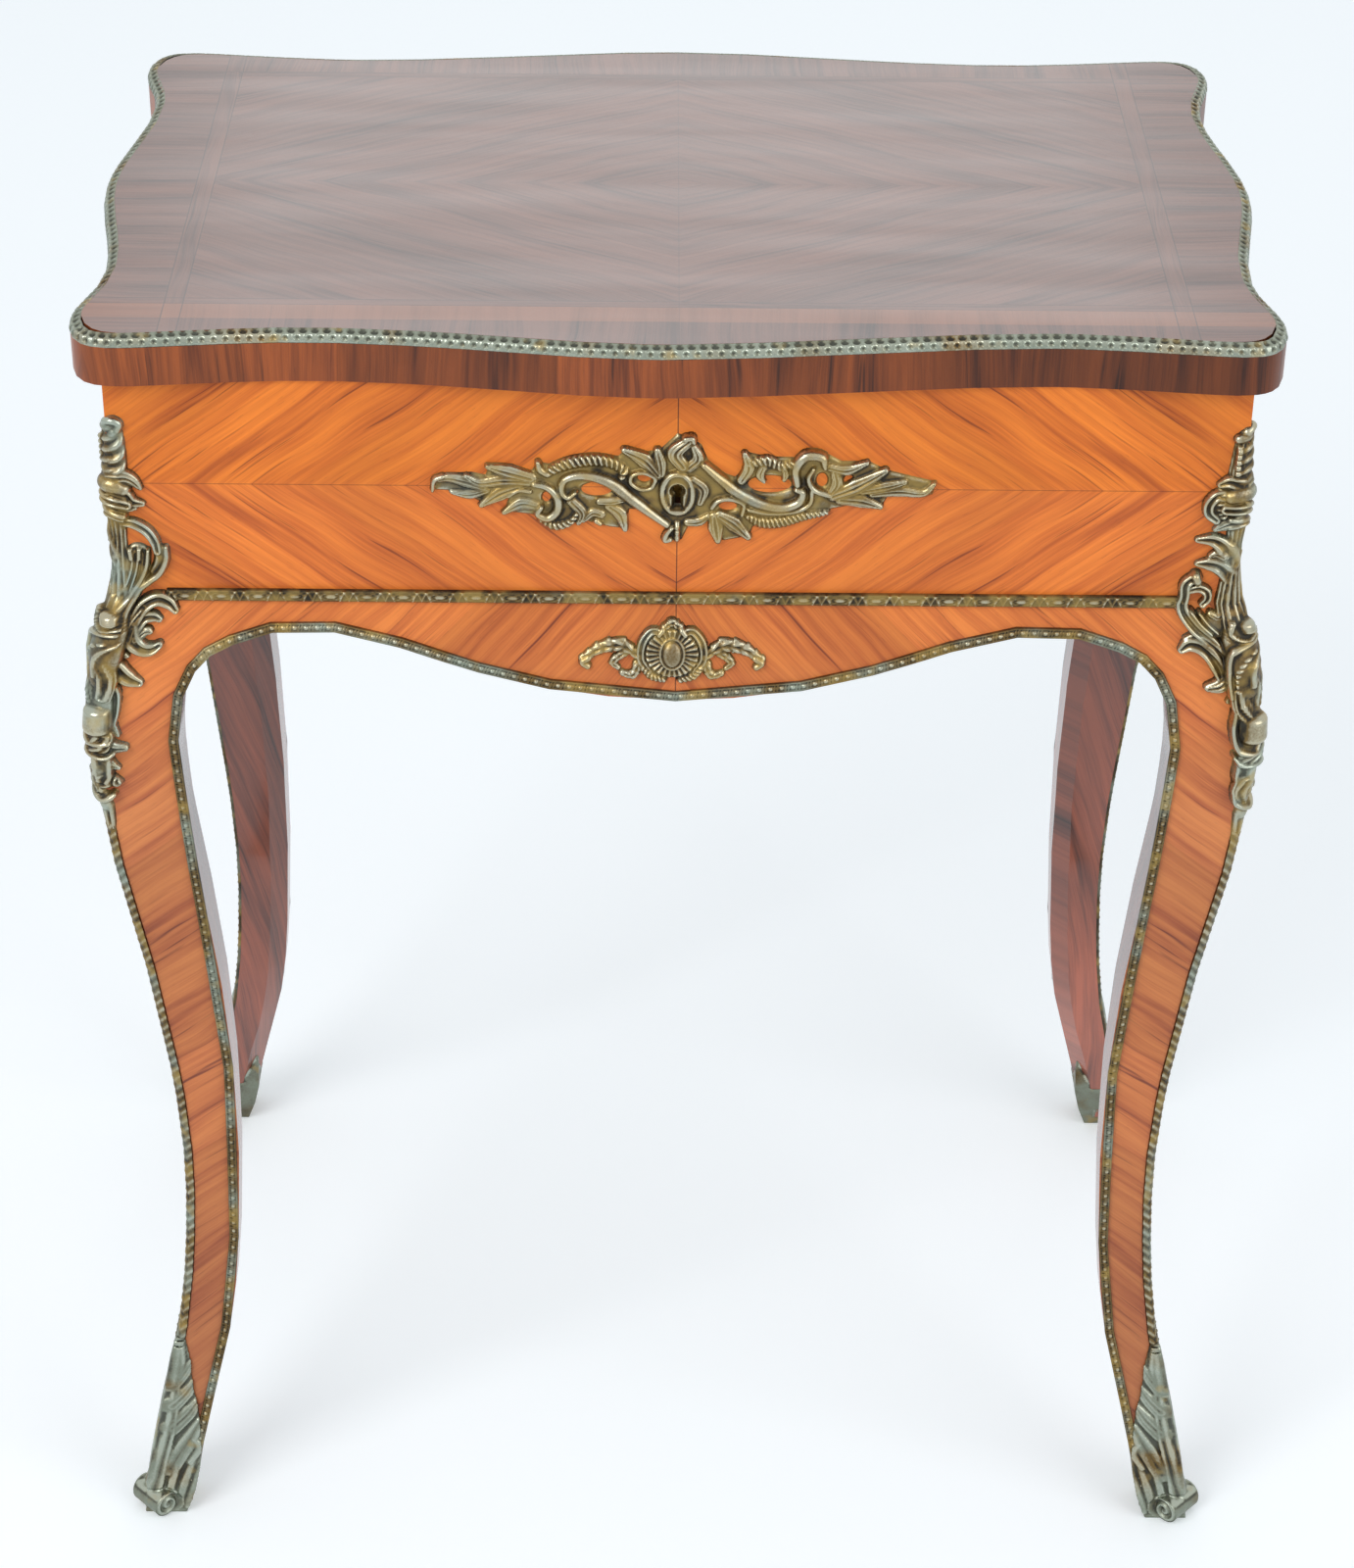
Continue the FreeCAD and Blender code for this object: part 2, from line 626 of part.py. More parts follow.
def side_half(side_x):
    """Half the length of a side of the box, from its middle to its corner."""
    return get("half_depth") if side_x else get("half_width")


def side_placement(angle, side_x, side_y):
    """Where a side piece goes: turned to its side and moved to the box's face."""
    base = Vector(side_x * get("half_width"), side_y * get("half_depth"), 0)
    return Placement(base, Rotation(ALONG_Z, angle))


def apron_edge_points(half):
    """Points of the apron's lower edge, from the middle to the post."""
    clear = half - get("post_width")
    arch = get("arch_share") * clear
    seam = get("seam_height")
    points = []
    for run_share, drop_share in APRON_MIDDLE_SHARES:
        points.append(Vector(0, run_share * (clear - arch), seam - drop_share * get("apron_depth")))
    for run_share, drop_share in APRON_ARCH_SHARES:
        points.append(Vector(0, clear - run_share * arch, seam - drop_share * get("apron_depth")))
    return points


def mirrored_line(points):
    """The points with their mirror images before them, the shared middle once."""
    other = [Vector(point.x, -point.y, point.z) for point in reversed(points[1:])]
    return other + points


def apron_swell(half):
    """The swelling face that legs and aprons share, as one solid."""
    inside = -get("apron_thickness")
    corners = [Vector(inside, 0, get("seam_height")), Vector(inside, 0, 0)]
    return extruded_both_ways(face_inside(smooth(leg_line(0)) + corners), ALONG_Y, half)


def apron_shape(half):
    """An apron: the swell of the leg's line, with the shaped lower edge."""
    clear = half - get("post_width")
    seam = get("seam_height")
    lower = smooth(mirrored_line(apron_edge_points(half)))
    view = face_inside(lower + [Vector(0, clear, seam), Vector(0, -clear, seam)])
    return apron_swell(clear).common(extruded_both_ways(view, ALONG_X, REACH))


def edge_band_path(half):
    """Points that the edge moulding follows: up one leg, along the apron, down the other."""
    start = get("edge_band_low")
    leg_part = [point for point in leg_inner_points() if point.z > start]
    leg_part.insert(0, leg_inner_at(start))
    points = apron_edge_points(half)[:-1]
    points += [Vector(0, half + point.x, point.z) for point in reversed(leg_part)]
    return mirrored_line(points)


def offset_points(points, distance):
    """Points beside a smooth line through points, to its left."""
    curve = Part.BSplineCurve()
    curve.interpolate(points)
    beside = []
    for parameter in curve.getKnots():
        along = curve.tangent(parameter)[0]
        beside.append(curve.value(parameter) + Vector(0, -along.z, along.y) * distance)
    return beside


def edge_band_shape(half):
    """Edge moulding over an apron and the inner edges of the legs beside it."""
    path = edge_band_path(half)
    beside = offset_points(path, get("edge_band_width"))
    outline = extruded_both_ways(face_inside(path + beside[::-1]), ALONG_X, REACH)
    outer = smooth(leg_line(get("edge_band_proud")))
    inside = -get("apron_thickness")
    back = [Vector(inside, 0, get("seam_height")), Vector(inside, 0, 0)]
    cover = extruded_both_ways(face_inside(outer + back), ALONG_Y, half + REACH)
    return outline.common(cover).cut(apron_swell(half + REACH))


def strip_shape(half):
    """Bead strip on one side of the box: a half-round rod."""
    radius = get("strip_height") / 2
    proud = get("strip_proud")
    centre = get("seam_height")
    length = half - get("strip_inset")
    arc = Part.Arc(Vector(0, 0, centre + radius), Vector(proud, 0, centre), Vector(0, 0, centre - radius))
    edges = [arc.toShape()]
    edges += polyline([Vector(0, 0, centre - radius), Vector(0, 0, centre + radius)])
    rod = extruded_both_ways(face_of(edges), ALONG_Y, length)
    return rod.cut(apron_swell(half))


for side, angle, side_x, side_y in SIDES:
    half = side_half(side_x)
    where = side_placement(angle, side_x, side_y)
    feature(side + "_apron", apron_shape(half), where)
    feature(side + "_edge_moulding", edge_band_shape(half), where)
    feature(side + "_bead_strip", strip_shape(half), where)

# Corner mounts: a wavy plate over both faces and a raised scroll along the corner

def mount_plate():
    """Profile of the plate, from its wavy edge to its outside."""
    top = get("mount_top")
    edge = []
    for drop_share, reach_share in MOUNT_EDGE_SHARES:
        edge.append(Vector(-reach_share * get("mount_reach"), 0, top - drop_share * get("mount_length")))
    outside = swollen_line(get("mount_plate"), [point.z for point in edge[::-1]])
    return face_inside(edge + outside)


def mount_scroll():
    """Profile of the raised scroll along the corner."""
    stand = get("mount_stand")
    outer = []
    inner = []
    for drop_share, out_share, width_share in MOUNT_SCROLL_SHARES:
        height = get("mount_top") - drop_share * get("mount_length")
        outer.append(Vector(out_share * stand, 0, height))
        inner.append(Vector((out_share - width_share) * stand, 0, height))
    return face_inside(outer + inner[::-1])


def mount_shape():
    """Corner mount, seated on the leg and the post."""
    width = get("post_width")
    post = Part.makeBox(width, width, get("box_height"), Vector(-width, 0, get("seam_height")))
    body = crossed(mount_plate()).fuse(crossed(mount_scroll()))
    return body.cut([crossed(leg_profile()), post, rod_shape]).removeSplitter()


at_each_corner("corner_mount", mount_shape())

# Sabots: a cup round the wooden foot, a leaf up the corner and a rolled toe

def sabot_profile():
    """The sabot seen from the front, in the leg's frame."""
    wall = get("sabot_wall")
    cup = get("sabot_cup_height")
    top = get("sabot_height")
    leaf = []
    for rise_share, reach_share in SABOT_LEAF_SHARES:
        height = cup + rise_share * (top - cup)
        leaf.append(Vector(outward_at(height) - reach_share * get("sabot_leaf_reach"), 0, height))
    heel = []
    for rise_share, wall_share in SABOT_HEEL_SHARES:
        height = rise_share * cup
        heel.append(Vector(outward_at(height) - get("foot_thickness") - wall_share * wall, 0, height))
    inner = leaf + heel
    outer = swollen_line(wall, [point.z for point in inner[::-1]])
    return face_inside(inner + outer)


def toe_roll():
    """Rolled toe across the diagonal."""
    radius = get("toe_roll_radius")
    length = get("toe_roll_length")
    roll = Part.makeCylinder(radius, length, Vector(0, -length / 2, 0), ALONG_Y)
    roll.rotate(Vector(), ALONG_Z, -45)
    out = get("toe_roll_out")
    roll.translate(Vector(out, -out, radius))
    return roll


def sabot_shape():
    """Sabot, seated on the wooden foot."""
    return crossed(sabot_profile()).fuse(toe_roll()).cut([leg, rod_shape]).removeSplitter()


at_each_corner("sabot", sabot_shape())

# Hinges. The axis lies at the line between box and lid, just behind the rear face.

HINGE_SIGNS = (("left", "-"), ("right", ""))


def leaf_recess(name, sign, level, depth):
    """Block as large as a leaf, to sink it into the wood."""
    return box(name, "Sizes.hinge_length", depth, "Sizes.hinge_leaf_thickness",
               x=sign + "Places.hinge_offset - Sizes.hinge_length / 2",
               y="Places.half_depth - Sizes.hinge_leaf_depth", z=level)


def hinge_leaf(label, sign, level, knuckles):
    """A leaf with its knuckles, bored for the pin."""
    left_end = sign + "Places.hinge_offset - Sizes.hinge_length / 2"
    pieces = [leaf_recess(label + "_plate", sign, level, "Sizes.hinge_leaf_depth")]
    for knuckle in knuckles:
        start = "%s + %d * Places.knuckle_length + Sizes.hinge_play / 2" % (left_end, knuckle)
        length = "Places.knuckle_length - Sizes.hinge_play"
        pieces.append(box(
            "%s_tab_%d" % (label, knuckle), length,
            "Places.hinge_axis_y - Places.half_depth + Sizes.hinge_play", "Sizes.hinge_leaf_thickness",
            x=start, y="Places.half_depth - Sizes.hinge_play", z=level))
        pieces.append(cylinder(
            "%s_knuckle_%d" % (label, knuckle), "Sizes.hinge_knuckle_radius", length,
            x=start, y="Places.hinge_axis_y", z="Places.hinge_axis_z", direction=ALONG_X))
    bore = cylinder(
        label + "_bore", "Sizes.hinge_pin_radius + Sizes.hinge_pin_fit", "Sizes.hinge_length",
        x=left_end, y="Places.hinge_axis_y", z="Places.hinge_axis_z", direction=ALONG_X)
    return keep(label, cut(label + "_bored", fuse(label + "_joined", pieces), bore))


rear_cuts = []
lid_cuts = []
for side_name, sign in HINGE_SIGNS:
    hinge_leaf("hinge_leaf_box_" + side_name, sign, "Places.rim_level - Sizes.hinge_leaf_thickness", (0, 2))
    hinge_leaf("hinge_leaf_lid_" + side_name, sign, "Places.lid_level", (1,))
    pin = cylinder("hinge_pin_" + side_name, "Sizes.hinge_pin_radius", "Sizes.hinge_length",
                   x=sign + "Places.hinge_offset - Sizes.hinge_length / 2",
                   y="Places.hinge_axis_y", z="Places.hinge_axis_z", direction=ALONG_X)
    keep("hinge_pin_" + side_name, pin)
    rear_cuts.append(leaf_recess(
        "box_recess_" + side_name, sign, "Places.rim_level - Sizes.hinge_leaf_thickness",
        "Sizes.hinge_leaf_depth"))
    lid_cuts.append(leaf_recess(
        "lid_recess_" + side_name, sign, "Places.lid_level",
        "Sizes.hinge_leaf_depth + Places.hinge_axis_y - Places.half_depth"))
    lid_cuts.append(cylinder(
        "knuckle_recess_" + side_name, "Sizes.hinge_knuckle_radius + Sizes.knuckle_recess_play",
        "Sizes.hinge_length + 2 * Sizes.knuckle_recess_play",
        x=sign + "Places.hinge_offset - Sizes.hinge_length / 2 - Sizes.knuckle_recess_play",
        y="Places.hinge_axis_y", z="Places.hinge_axis_z", direction=ALONG_X))

# Box: the panels between the posts and the floor of the well

def board(name, wide, deep, tall):
    """A plain board as a body, centred on x and y, with its underside at zero."""
    body = doc.addObject("PartDesign::Body", name)
    pad(body, name + "_pad", rectangle(sketch_on(body, name + "_outline", "XY_Plane"), wide, deep), tall)
    return body


def board_part(label, wide, deep, tall, x="0", y="0", z="0"):
    """A plain board that is a sub-part by itself."""
    return keep(label, place(board(label, wide, deep, tall), x, y, z))


for side_name, sign in (("left_panel", "-"), ("right_panel", "")):
    board_part(side_name, "Sizes.panel_thickness", "Places.side_span", "Sizes.box_height",
               x=sign + "(Places.half_width - Sizes.panel_thickness / 2)", z="Places.seam_height")
board_part("well_bottom", "Places.well_width", "Places.well_depth", "Sizes.bottom_thickness",
           z="Places.seam_height")

rear_board = place(
    board("rear_board", "Places.front_span", "Sizes.panel_thickness", "Sizes.box_height"),
    y="Places.half_depth - Sizes.panel_thickness / 2", z="Places.seam_height")
keep("rear_panel", cut("rear_panel_cut", rear_board, fuse("rear_cuts", rear_cuts)))

front_board = board("front_board", "Places.front_span", "Sizes.panel_thickness", "Sizes.box_height")
lock_recess = rectangle(
    sketch_on(front_board, "lock_recess_outline", "XZ_Plane", {
        "y": "Sizes.box_height - Sizes.lock_height / 2 + (Sizes.cut_overrun - Sizes.lock_fit) / 2",
        "z": "Sizes.lock_box_depth + Sizes.lock_fit - Sizes.panel_thickness / 2"}),
    "Sizes.lock_box_width + 2 * Sizes.lock_fit", "Sizes.lock_height + Sizes.cut_overrun + Sizes.lock_fit")
pocket(front_board, "lock_recess", lock_recess, "Sizes.lock_box_depth + Sizes.cut_overrun")
SELVEDGE_DEPTH = "(Sizes.lock_box_depth + Sizes.selvedge_thickness)"
selvedge_recess = rectangle(
    sketch_on(front_board, "selvedge_recess_outline", "XY_Plane", {
        "y": "Sizes.panel_thickness / 2 - (%s + Sizes.lock_fit) / 2" % SELVEDGE_DEPTH,
        "z": "Sizes.box_height - Sizes.selvedge_thickness"}),
    "Sizes.lock_plate_width + 2 * Sizes.lock_fit", SELVEDGE_DEPTH + " + Sizes.lock_fit")
pocket(front_board, "selvedge_recess", selvedge_recess, "Sizes.cut_overrun", reversed_way=True)
KEYHOLE_UP = "Sizes.box_height - Sizes.keyhole_drop"
THROUGH_PANEL = "Sizes.panel_thickness + 2 * Sizes.cut_overrun"
keyhole_round = circle(
    sketch_on(front_board, "keyhole_round", "XZ_Plane", {"y": KEYHOLE_UP}), "Sizes.keyhole_radius")
pocket(front_board, "keyhole", keyhole_round, THROUGH_PANEL, both_ways=True)
keyhole_slot = rectangle(
    sketch_on(front_board, "keyhole_slot_outline", "XZ_Plane", {
        "y": KEYHOLE_UP + " - Sizes.keyhole_slot_length / 2"}),
    "Sizes.keyhole_slot_width", "Sizes.keyhole_slot_length")
pocket(front_board, "keyhole_slot", keyhole_slot, THROUGH_PANEL, both_ways=True)
place(front_board, y="Places.panel_inner_y - Sizes.panel_thickness / 2", z="Places.seam_height")
keep("front_panel", front_board)

# Lock: a case let into the front panel, closed towards the well by its back plate

lock = doc.addObject("PartDesign::Body", "lock_body")
back_plate = rectangle(
    sketch_on(lock, "lock_back_plate", "XZ_Plane"), "Sizes.lock_plate_width", "Sizes.lock_height")
pad(lock, "lock_back_plate_pad", back_plate, "Sizes.lock_plate_thickness", reversed_way=True)
lock_box = rectangle(
    sketch_on(lock, "lock_box_outline", "XZ_Plane"), "Sizes.lock_box_width", "Sizes.lock_height")
pad(lock, "lock_box_pad", lock_box, "Sizes.lock_box_depth")
lock_hollow = rectangle(
    sketch_on(lock, "lock_hollow_outline", "XZ_Plane"),
    "Sizes.lock_box_width - 2 * Sizes.lock_wall", "Sizes.lock_height - 2 * Sizes.lock_wall")
pocket(lock, "lock_hollow", lock_hollow, "Sizes.lock_box_depth", reversed_way=True)
ledge = rectangle(
    sketch_on(lock, "lock_ledge_outline", "XZ_Plane", {
        "y": "Sizes.lock_height / 2 - Sizes.bolt_bar_drop - Sizes.hinge_play - Sizes.bolt_ledge / 2"}),
    "Sizes.lock_box_width - Sizes.lock_wall", "Sizes.bolt_ledge")
pad(lock, "lock_ledge_pad", ledge, "Sizes.lock_box_depth")
selvedge = rectangle(
    sketch_on(lock, "selvedge_outline", "XY_Plane", {
        "y": "Sizes.lock_plate_thickness / 2 - %s / 2" % SELVEDGE_DEPTH,
        "z": "Sizes.lock_height / 2 - Sizes.selvedge_thickness"}),
    "Sizes.lock_plate_width", SELVEDGE_DEPTH + " + Sizes.lock_plate_thickness")
pad(lock, "selvedge_pad", selvedge, "Sizes.selvedge_thickness")
for side_name, sign in (("left", "-"), ("right", "")):
    slot = rectangle(
        sketch_on(lock, "staple_slot_outline_" + side_name, "XY_Plane", {
            "x": sign + "Sizes.staple_offset", "y": "-Sizes.lock_box_depth / 2",
            "z": "Sizes.lock_height / 2"}),
        "Sizes.staple_thickness + 2 * Sizes.staple_play", "Sizes.staple_width + 2 * Sizes.staple_play")
    pocket(lock, "staple_slot_" + side_name, slot, "Sizes.selvedge_thickness + Sizes.lock_wall")
place(lock, y="Places.panel_inner_y", z="Places.rim_level - Sizes.lock_height / 2")
keep("lock_case", lock)
keep("lock_drill_pin", cylinder(
    "lock_drill_pin", "Sizes.drill_pin_radius", "Sizes.panel_thickness - Sizes.drill_pin_end",
    y="Places.panel_inner_y", z="Places.keyhole_level", direction=-ALONG_Y))


def bolt_shape():
    """Bolt: a bar with two risers, each with a finger that enters a staple, and a notch
    under the bar where the key pushes."""
    gap = get("staple_thickness") / 2 + get("bolt_free")
    finger = get("bolt_finger")
    bottom = get("bolt_bar_level")
    top = bottom + get("bolt_bar_height")
    finger_top = get("finger_level") + finger / 2
    finger_low = get("finger_level") - finger / 2
    tips = [-get("staple_offset") - gap, get("staple_offset") - gap]
    risers = [tip - get("bolt_throw") for tip in tips]
    left = risers[0] - get("bolt_riser_width")
    right = tips[1] + get("bolt_throw")
    notch = get("bolt_bar_height") / 2
    line = [Vector(left, 0, bottom), Vector(left, 0, finger_top)]
    line += [Vector(tips[0], 0, finger_top), Vector(tips[0], 0, finger_low)]
    line += [Vector(risers[0], 0, finger_low), Vector(risers[0], 0, top)]
    second = risers[1] - get("bolt_riser_width")
    line += [Vector(second, 0, top), Vector(second, 0, finger_top)]
    line += [Vector(tips[1], 0, finger_top), Vector(tips[1], 0, finger_low)]
    line += [Vector(risers[1], 0, finger_low), Vector(risers[1], 0, top)]
    line += [Vector(right, 0, top), Vector(right, 0, bottom), Vector(notch, 0, bottom)]
    edges = polyline(line)
    edges.append(Part.Arc(line[-1], Vector(0, 0, bottom + notch), Vector(-notch, 0, bottom)).toShape())
    edges += polyline([Vector(-notch, 0, bottom), line[0]])
    return extruded_both_ways(face_of(edges), ALONG_Y, finger / 2)


feature("lock_bolt", bolt_shape(), Placement(Vector(0, get("bolt_y"), 0), Rotation()))

link_pieces = [box(
    "link_plate", "Sizes.link_plate_width", "Sizes.link_plate_depth", "Sizes.link_plate_thickness",
    x="-Sizes.link_plate_width / 2", y="Places.bolt_y - Sizes.link_plate_depth / 2", z="Places.lid_level")]
for side_name, sign in (("left", "-"), ("right", "")):
    staple = box("staple_" + side_name, "Sizes.staple_thickness", "Sizes.staple_width",
                 "Sizes.staple_length + Sizes.link_plate_thickness",
                 x=sign + "Sizes.staple_offset - Sizes.staple_thickness / 2",
                 y="Places.bolt_y - Sizes.staple_width / 2", z="Places.lid_level - Sizes.staple_length")
    hole = box("staple_hole_" + side_name, "Sizes.staple_thickness", "Sizes.staple_hole", "Sizes.staple_hole",
               x=sign + "Sizes.staple_offset - Sizes.staple_thickness / 2",
               y="Places.bolt_y - Sizes.staple_hole / 2", z="Places.finger_level - Sizes.staple_hole / 2")
    link_pieces.append(cut("staple_eye_" + side_name, staple, hole))
keep("lock_link_plate", fuse("link_plate_joined", link_pieces))

# Lid: serpentine panel, brass moulding let into its top edge, mirror held by a bead

def lid_outline(inset):
    """Closed face of the lid's outline at zero height, drawn in by an inset."""
    half_wide = get("lid_width") / 2 - inset
    half_deep = get("lid_depth") / 2 - inset
    quarter = [(x * half_wide, y * half_deep) for x, y in LID_OUTLINE_SHARES]
    points = [Vector(x, -y, 0) for x, y in quarter]
    points += [Vector(x, y, 0) for x, y in reversed(quarter[:-1])]
    points += [Vector(-x, y, 0) for x, y in quarter[1:]]
    points += [Vector(-x, -y, 0) for x, y in reversed(quarter[1:-1])]
    return face_inside(smooth(points, closed=True)[:-1])


def slab(face, low, high):
    """A face at zero height drawn up between two heights."""
    return face.translated(Vector(0, 0, low)).extrude(Vector(0, 0, high - low))


rim_low = get("overall_height") - get("lid_rim_height")
lid_wood = doc.addObject("Part::Feature", "lid_wood")
lid_wood.Shape = slab(lid_outline(get("lid_rim_proud")), get("lid_level"), rim_low).fuse(
    slab(lid_outline(get("lid_rim_width")), rim_low, get("overall_height") - get("lid_veneer_drop"))
).removeSplitter()
lid_cuts.append(box("mirror_recess", "Places.bead_outer_width", "Places.bead_outer_depth",
                    "Places.mirror_recess_depth", x="-Places.bead_outer_width / 2",
                    y="-Places.bead_outer_depth / 2", z="Places.lid_level"))
lid_cuts.append(box("link_plate_recess", "Sizes.link_plate_width", "Sizes.link_plate_depth",
                    "Sizes.link_plate_thickness", x="-Sizes.link_plate_width / 2",
                    y="Places.bolt_y - Sizes.link_plate_depth / 2", z="Places.lid_level"))
keep("lid_panel", cut("lid_panel_cut", lid_wood, fuse("lid_cuts", lid_cuts)))


def lid_rim_shape():
    """Brass moulding round the top edge of the lid."""
    top = get("overall_height")
    return slab(lid_outline(0), rim_low, top).cut(slab(lid_outline(get("lid_rim_width")), rim_low, top))


feature("lid_edge_moulding", lid_rim_shape())

mirror = new_body("lid_mirror")
glass = rectangle(
    sketch_on(mirror, "mirror_outline", "XY_Plane"), "Places.mirror_width", "Places.mirror_depth")
glass_pad = pad(mirror, "mirror_pad", glass, "Sizes.mirror_thickness")
place(mirror, z="Places.mirror_level")
doc.recompute()
seen_edges = [
    "Edge%d" % number for number, edge in enumerate(glass_pad.Shape.Edges, start=1)
    if edge.BoundBox.ZMax < get("mirror_bevel")]
bevel = mirror.newObject("PartDesign::Chamfer", "mirror_bevel")
bevel.Base = (glass_pad, seen_edges)
bevel.setExpression("Size", "Sizes.mirror_bevel")

bead = box("bead_block", "Places.bead_outer_width", "Places.bead_outer_depth", "Places.mirror_recess_depth",
           x="-Places.bead_outer_width / 2", y="-Places.bead_outer_depth / 2", z="Places.lid_level")
bead_seat = box("bead_seat", "Places.mirror_width + 2 * Sizes.mirror_fit",
                "Places.mirror_depth + 2 * Sizes.mirror_fit", "Sizes.mirror_thickness",
                x="-Places.mirror_width / 2 - Sizes.mirror_fit",
                y="-Places.mirror_depth / 2 - Sizes.mirror_fit", z="Places.mirror_level")
bead_sight = box("bead_sight", "Places.mirror_width - 2 * Sizes.mirror_bead_lip",
                 "Places.mirror_depth - 2 * Sizes.mirror_bead_lip", "Places.mirror_recess_depth",
                 x="-Places.mirror_width / 2 + Sizes.mirror_bead_lip",
                 y="-Places.mirror_depth / 2 + Sizes.mirror_bead_lip", z="Places.lid_level")
keep("mirror_bead", cut("mirror_bead_cut", bead, fuse("bead_hollow", [bead_seat, bead_sight])))

# Ornaments of the front, in a frame where x is outward and y runs along the side

def outline_face(points, half_long, half_tall, level):
    """A closed upright face from shares of a half length and a half height."""
    corners = [Vector(0, along * half_long, level + up * half_tall) for along, up in points]
    return face_inside(corners)


def upright_oval(width, height, proud, level):
    """An oval boss that stands out from the plane of zero."""
    slim = (height - width) / 2
    ring = []
    for side in (1, -1):
        across = side * width / 2
        rise = side * slim
        ends = [Vector(0, across, level - rise), Vector(0, across, level + rise)]
        ring += polyline(ends)
        ring.append(Part.Arc(
            Vector(0, across, level + rise), Vector(0, 0, level + rise + side * width / 2),
            Vector(0, -across, level + rise)).toShape())
    return face_of(ring).extrude(ALONG_X * proud)


def turned(points):
    """The points turned half round about the middle."""
    return [(-along, -up) for along, up in points]


def escutcheon_shape():
    """Pierced keyhole escutcheon with its oval boss."""
    half_long = get("escutcheon_length") / 2
    half_tall = get("escutcheon_height") / 2
    level = get("keyhole_level") + get("escutcheon_lift")
    thickness = get("escutcheon_thickness")
    proud = thickness + get("escutcheon_boss_proud")
    outline = list(ESCUTCHEON_SHARES) + turned(ESCUTCHEON_SHARES)
    body = outline_face(outline, half_long, half_tall, level).extrude(ALONG_X * thickness)
    for piercing in ESCUTCHEON_PIERCING_SHARES:
        for points in (piercing, turned(piercing)):
            hole = outline_face(points, half_long, half_tall, level)
            body = body.cut(extruded_both_ways(hole, ALONG_X, 2 * thickness))
    boss = upright_oval(
        get("escutcheon_boss_width"), get("escutcheon_boss_height"), proud,
        get("keyhole_level") - get("escutcheon_boss_drop"))
    body = body.fuse(boss)
    hole = Part.makeCylinder(
        get("keyhole_radius"), 2 * proud, Vector(-proud / 2, 0, get("keyhole_level")), ALONG_X)
    slot = Part.makeBox(
        2 * proud, get("keyhole_slot_width"), get("keyhole_slot_length"),
        Vector(-proud / 2, -get("keyhole_slot_width") / 2, get("keyhole_level") - get("keyhole_slot_length")))
    return body.cut([hole, slot]).removeSplitter()


def cartouche_shape():
    """Apron ornament, seated on the swell of the apron."""
    half_long = get("cartouche_length") / 2
    half_tall = get("cartouche_height") / 2
    right = list(CARTOUCHE_UPPER_SHARES) + list(CARTOUCHE_LOWER_SHARES)
    left = [(-along, up) for along, up in reversed(right[1:-1])]
    view = outline_face(right + left, half_long, half_tall, get("cartouche_centre"))
    low = get("cartouche_centre") - half_tall
    high = get("cartouche_centre") + half_tall
    line = swollen_line(get("cartouche_thickness"), [low, get("cartouche_centre"), high])
    line += [Vector(-get("apron_thickness"), 0, high), Vector(-get("apron_thickness"), 0, low)]
    cover = extruded_both_ways(face_inside(line), ALONG_Y, half_long)
    body = extruded_both_ways(view, ALONG_X, REACH).common(cover)
    low = outward_at(get("cartouche_centre") + get("cabochon_height") / 2)
    high = outward_at(get("cartouche_centre")) + get("cartouche_thickness") + get("cabochon_proud")
    boss = upright_oval(get("cabochon_width"), get("cabochon_height"), high - low, get("cartouche_centre"))
    boss.translate(Vector(low, 0, 0))
    return body.fuse(boss).cut(apron_swell(half_long)).removeSplitter()


front = side_placement(*SIDES[0][1:])
feature("keyhole_escutcheon", escutcheon_shape(), front)
feature("apron_cartouche", cartouche_shape(), front)

doc.recompute()
for item in doc.Objects:
    if "Invalid" in item.State or "Error" in item.State:
        raise RuntimeError(item.Label + " could not be worked out")
for piece in nodes:
    if piece.Shape.isNull() or not piece.Shape.isValid() or not piece.Shape.Solids:
        raise RuntimeError(piece.Label + " is not a valid solid")
for piece in nodes:
    piece.Shape.exportStep("parts/%s.step" % piece.Label)
print(len(nodes), "sub-parts written")
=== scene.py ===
# %% [markdown]
# Dressing table with a lifting lid: a lesson in dressing a finished model.
#
# The carcass, legs, lid, hinges and lock come in as exact solids. This script gives them
# veneer, polish, gilding and light, and adds what a founder and a polisher add by hand:
# the cast mounts, the repeating brass borders and the small slotted screws.
# %% Start
import json
import math

import bmesh
import bpy
import numpy as np
from mathutils import Matrix, Vector


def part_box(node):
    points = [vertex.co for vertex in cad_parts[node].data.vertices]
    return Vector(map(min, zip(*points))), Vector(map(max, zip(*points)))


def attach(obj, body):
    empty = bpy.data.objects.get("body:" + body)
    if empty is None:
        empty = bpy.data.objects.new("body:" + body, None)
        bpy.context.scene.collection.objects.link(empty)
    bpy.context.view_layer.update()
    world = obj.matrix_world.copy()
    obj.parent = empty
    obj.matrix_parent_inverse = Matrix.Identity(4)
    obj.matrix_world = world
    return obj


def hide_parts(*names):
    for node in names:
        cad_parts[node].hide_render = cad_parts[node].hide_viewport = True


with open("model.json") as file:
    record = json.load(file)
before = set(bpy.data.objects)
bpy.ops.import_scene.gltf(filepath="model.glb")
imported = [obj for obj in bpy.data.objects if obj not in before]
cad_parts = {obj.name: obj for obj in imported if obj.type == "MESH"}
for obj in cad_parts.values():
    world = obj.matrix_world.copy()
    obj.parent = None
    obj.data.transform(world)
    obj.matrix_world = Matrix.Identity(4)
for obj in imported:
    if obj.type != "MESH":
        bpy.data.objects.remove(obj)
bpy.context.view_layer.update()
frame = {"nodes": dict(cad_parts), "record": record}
nodes = frame["nodes"]
MM = 0.001
print("nodes:", len(nodes))

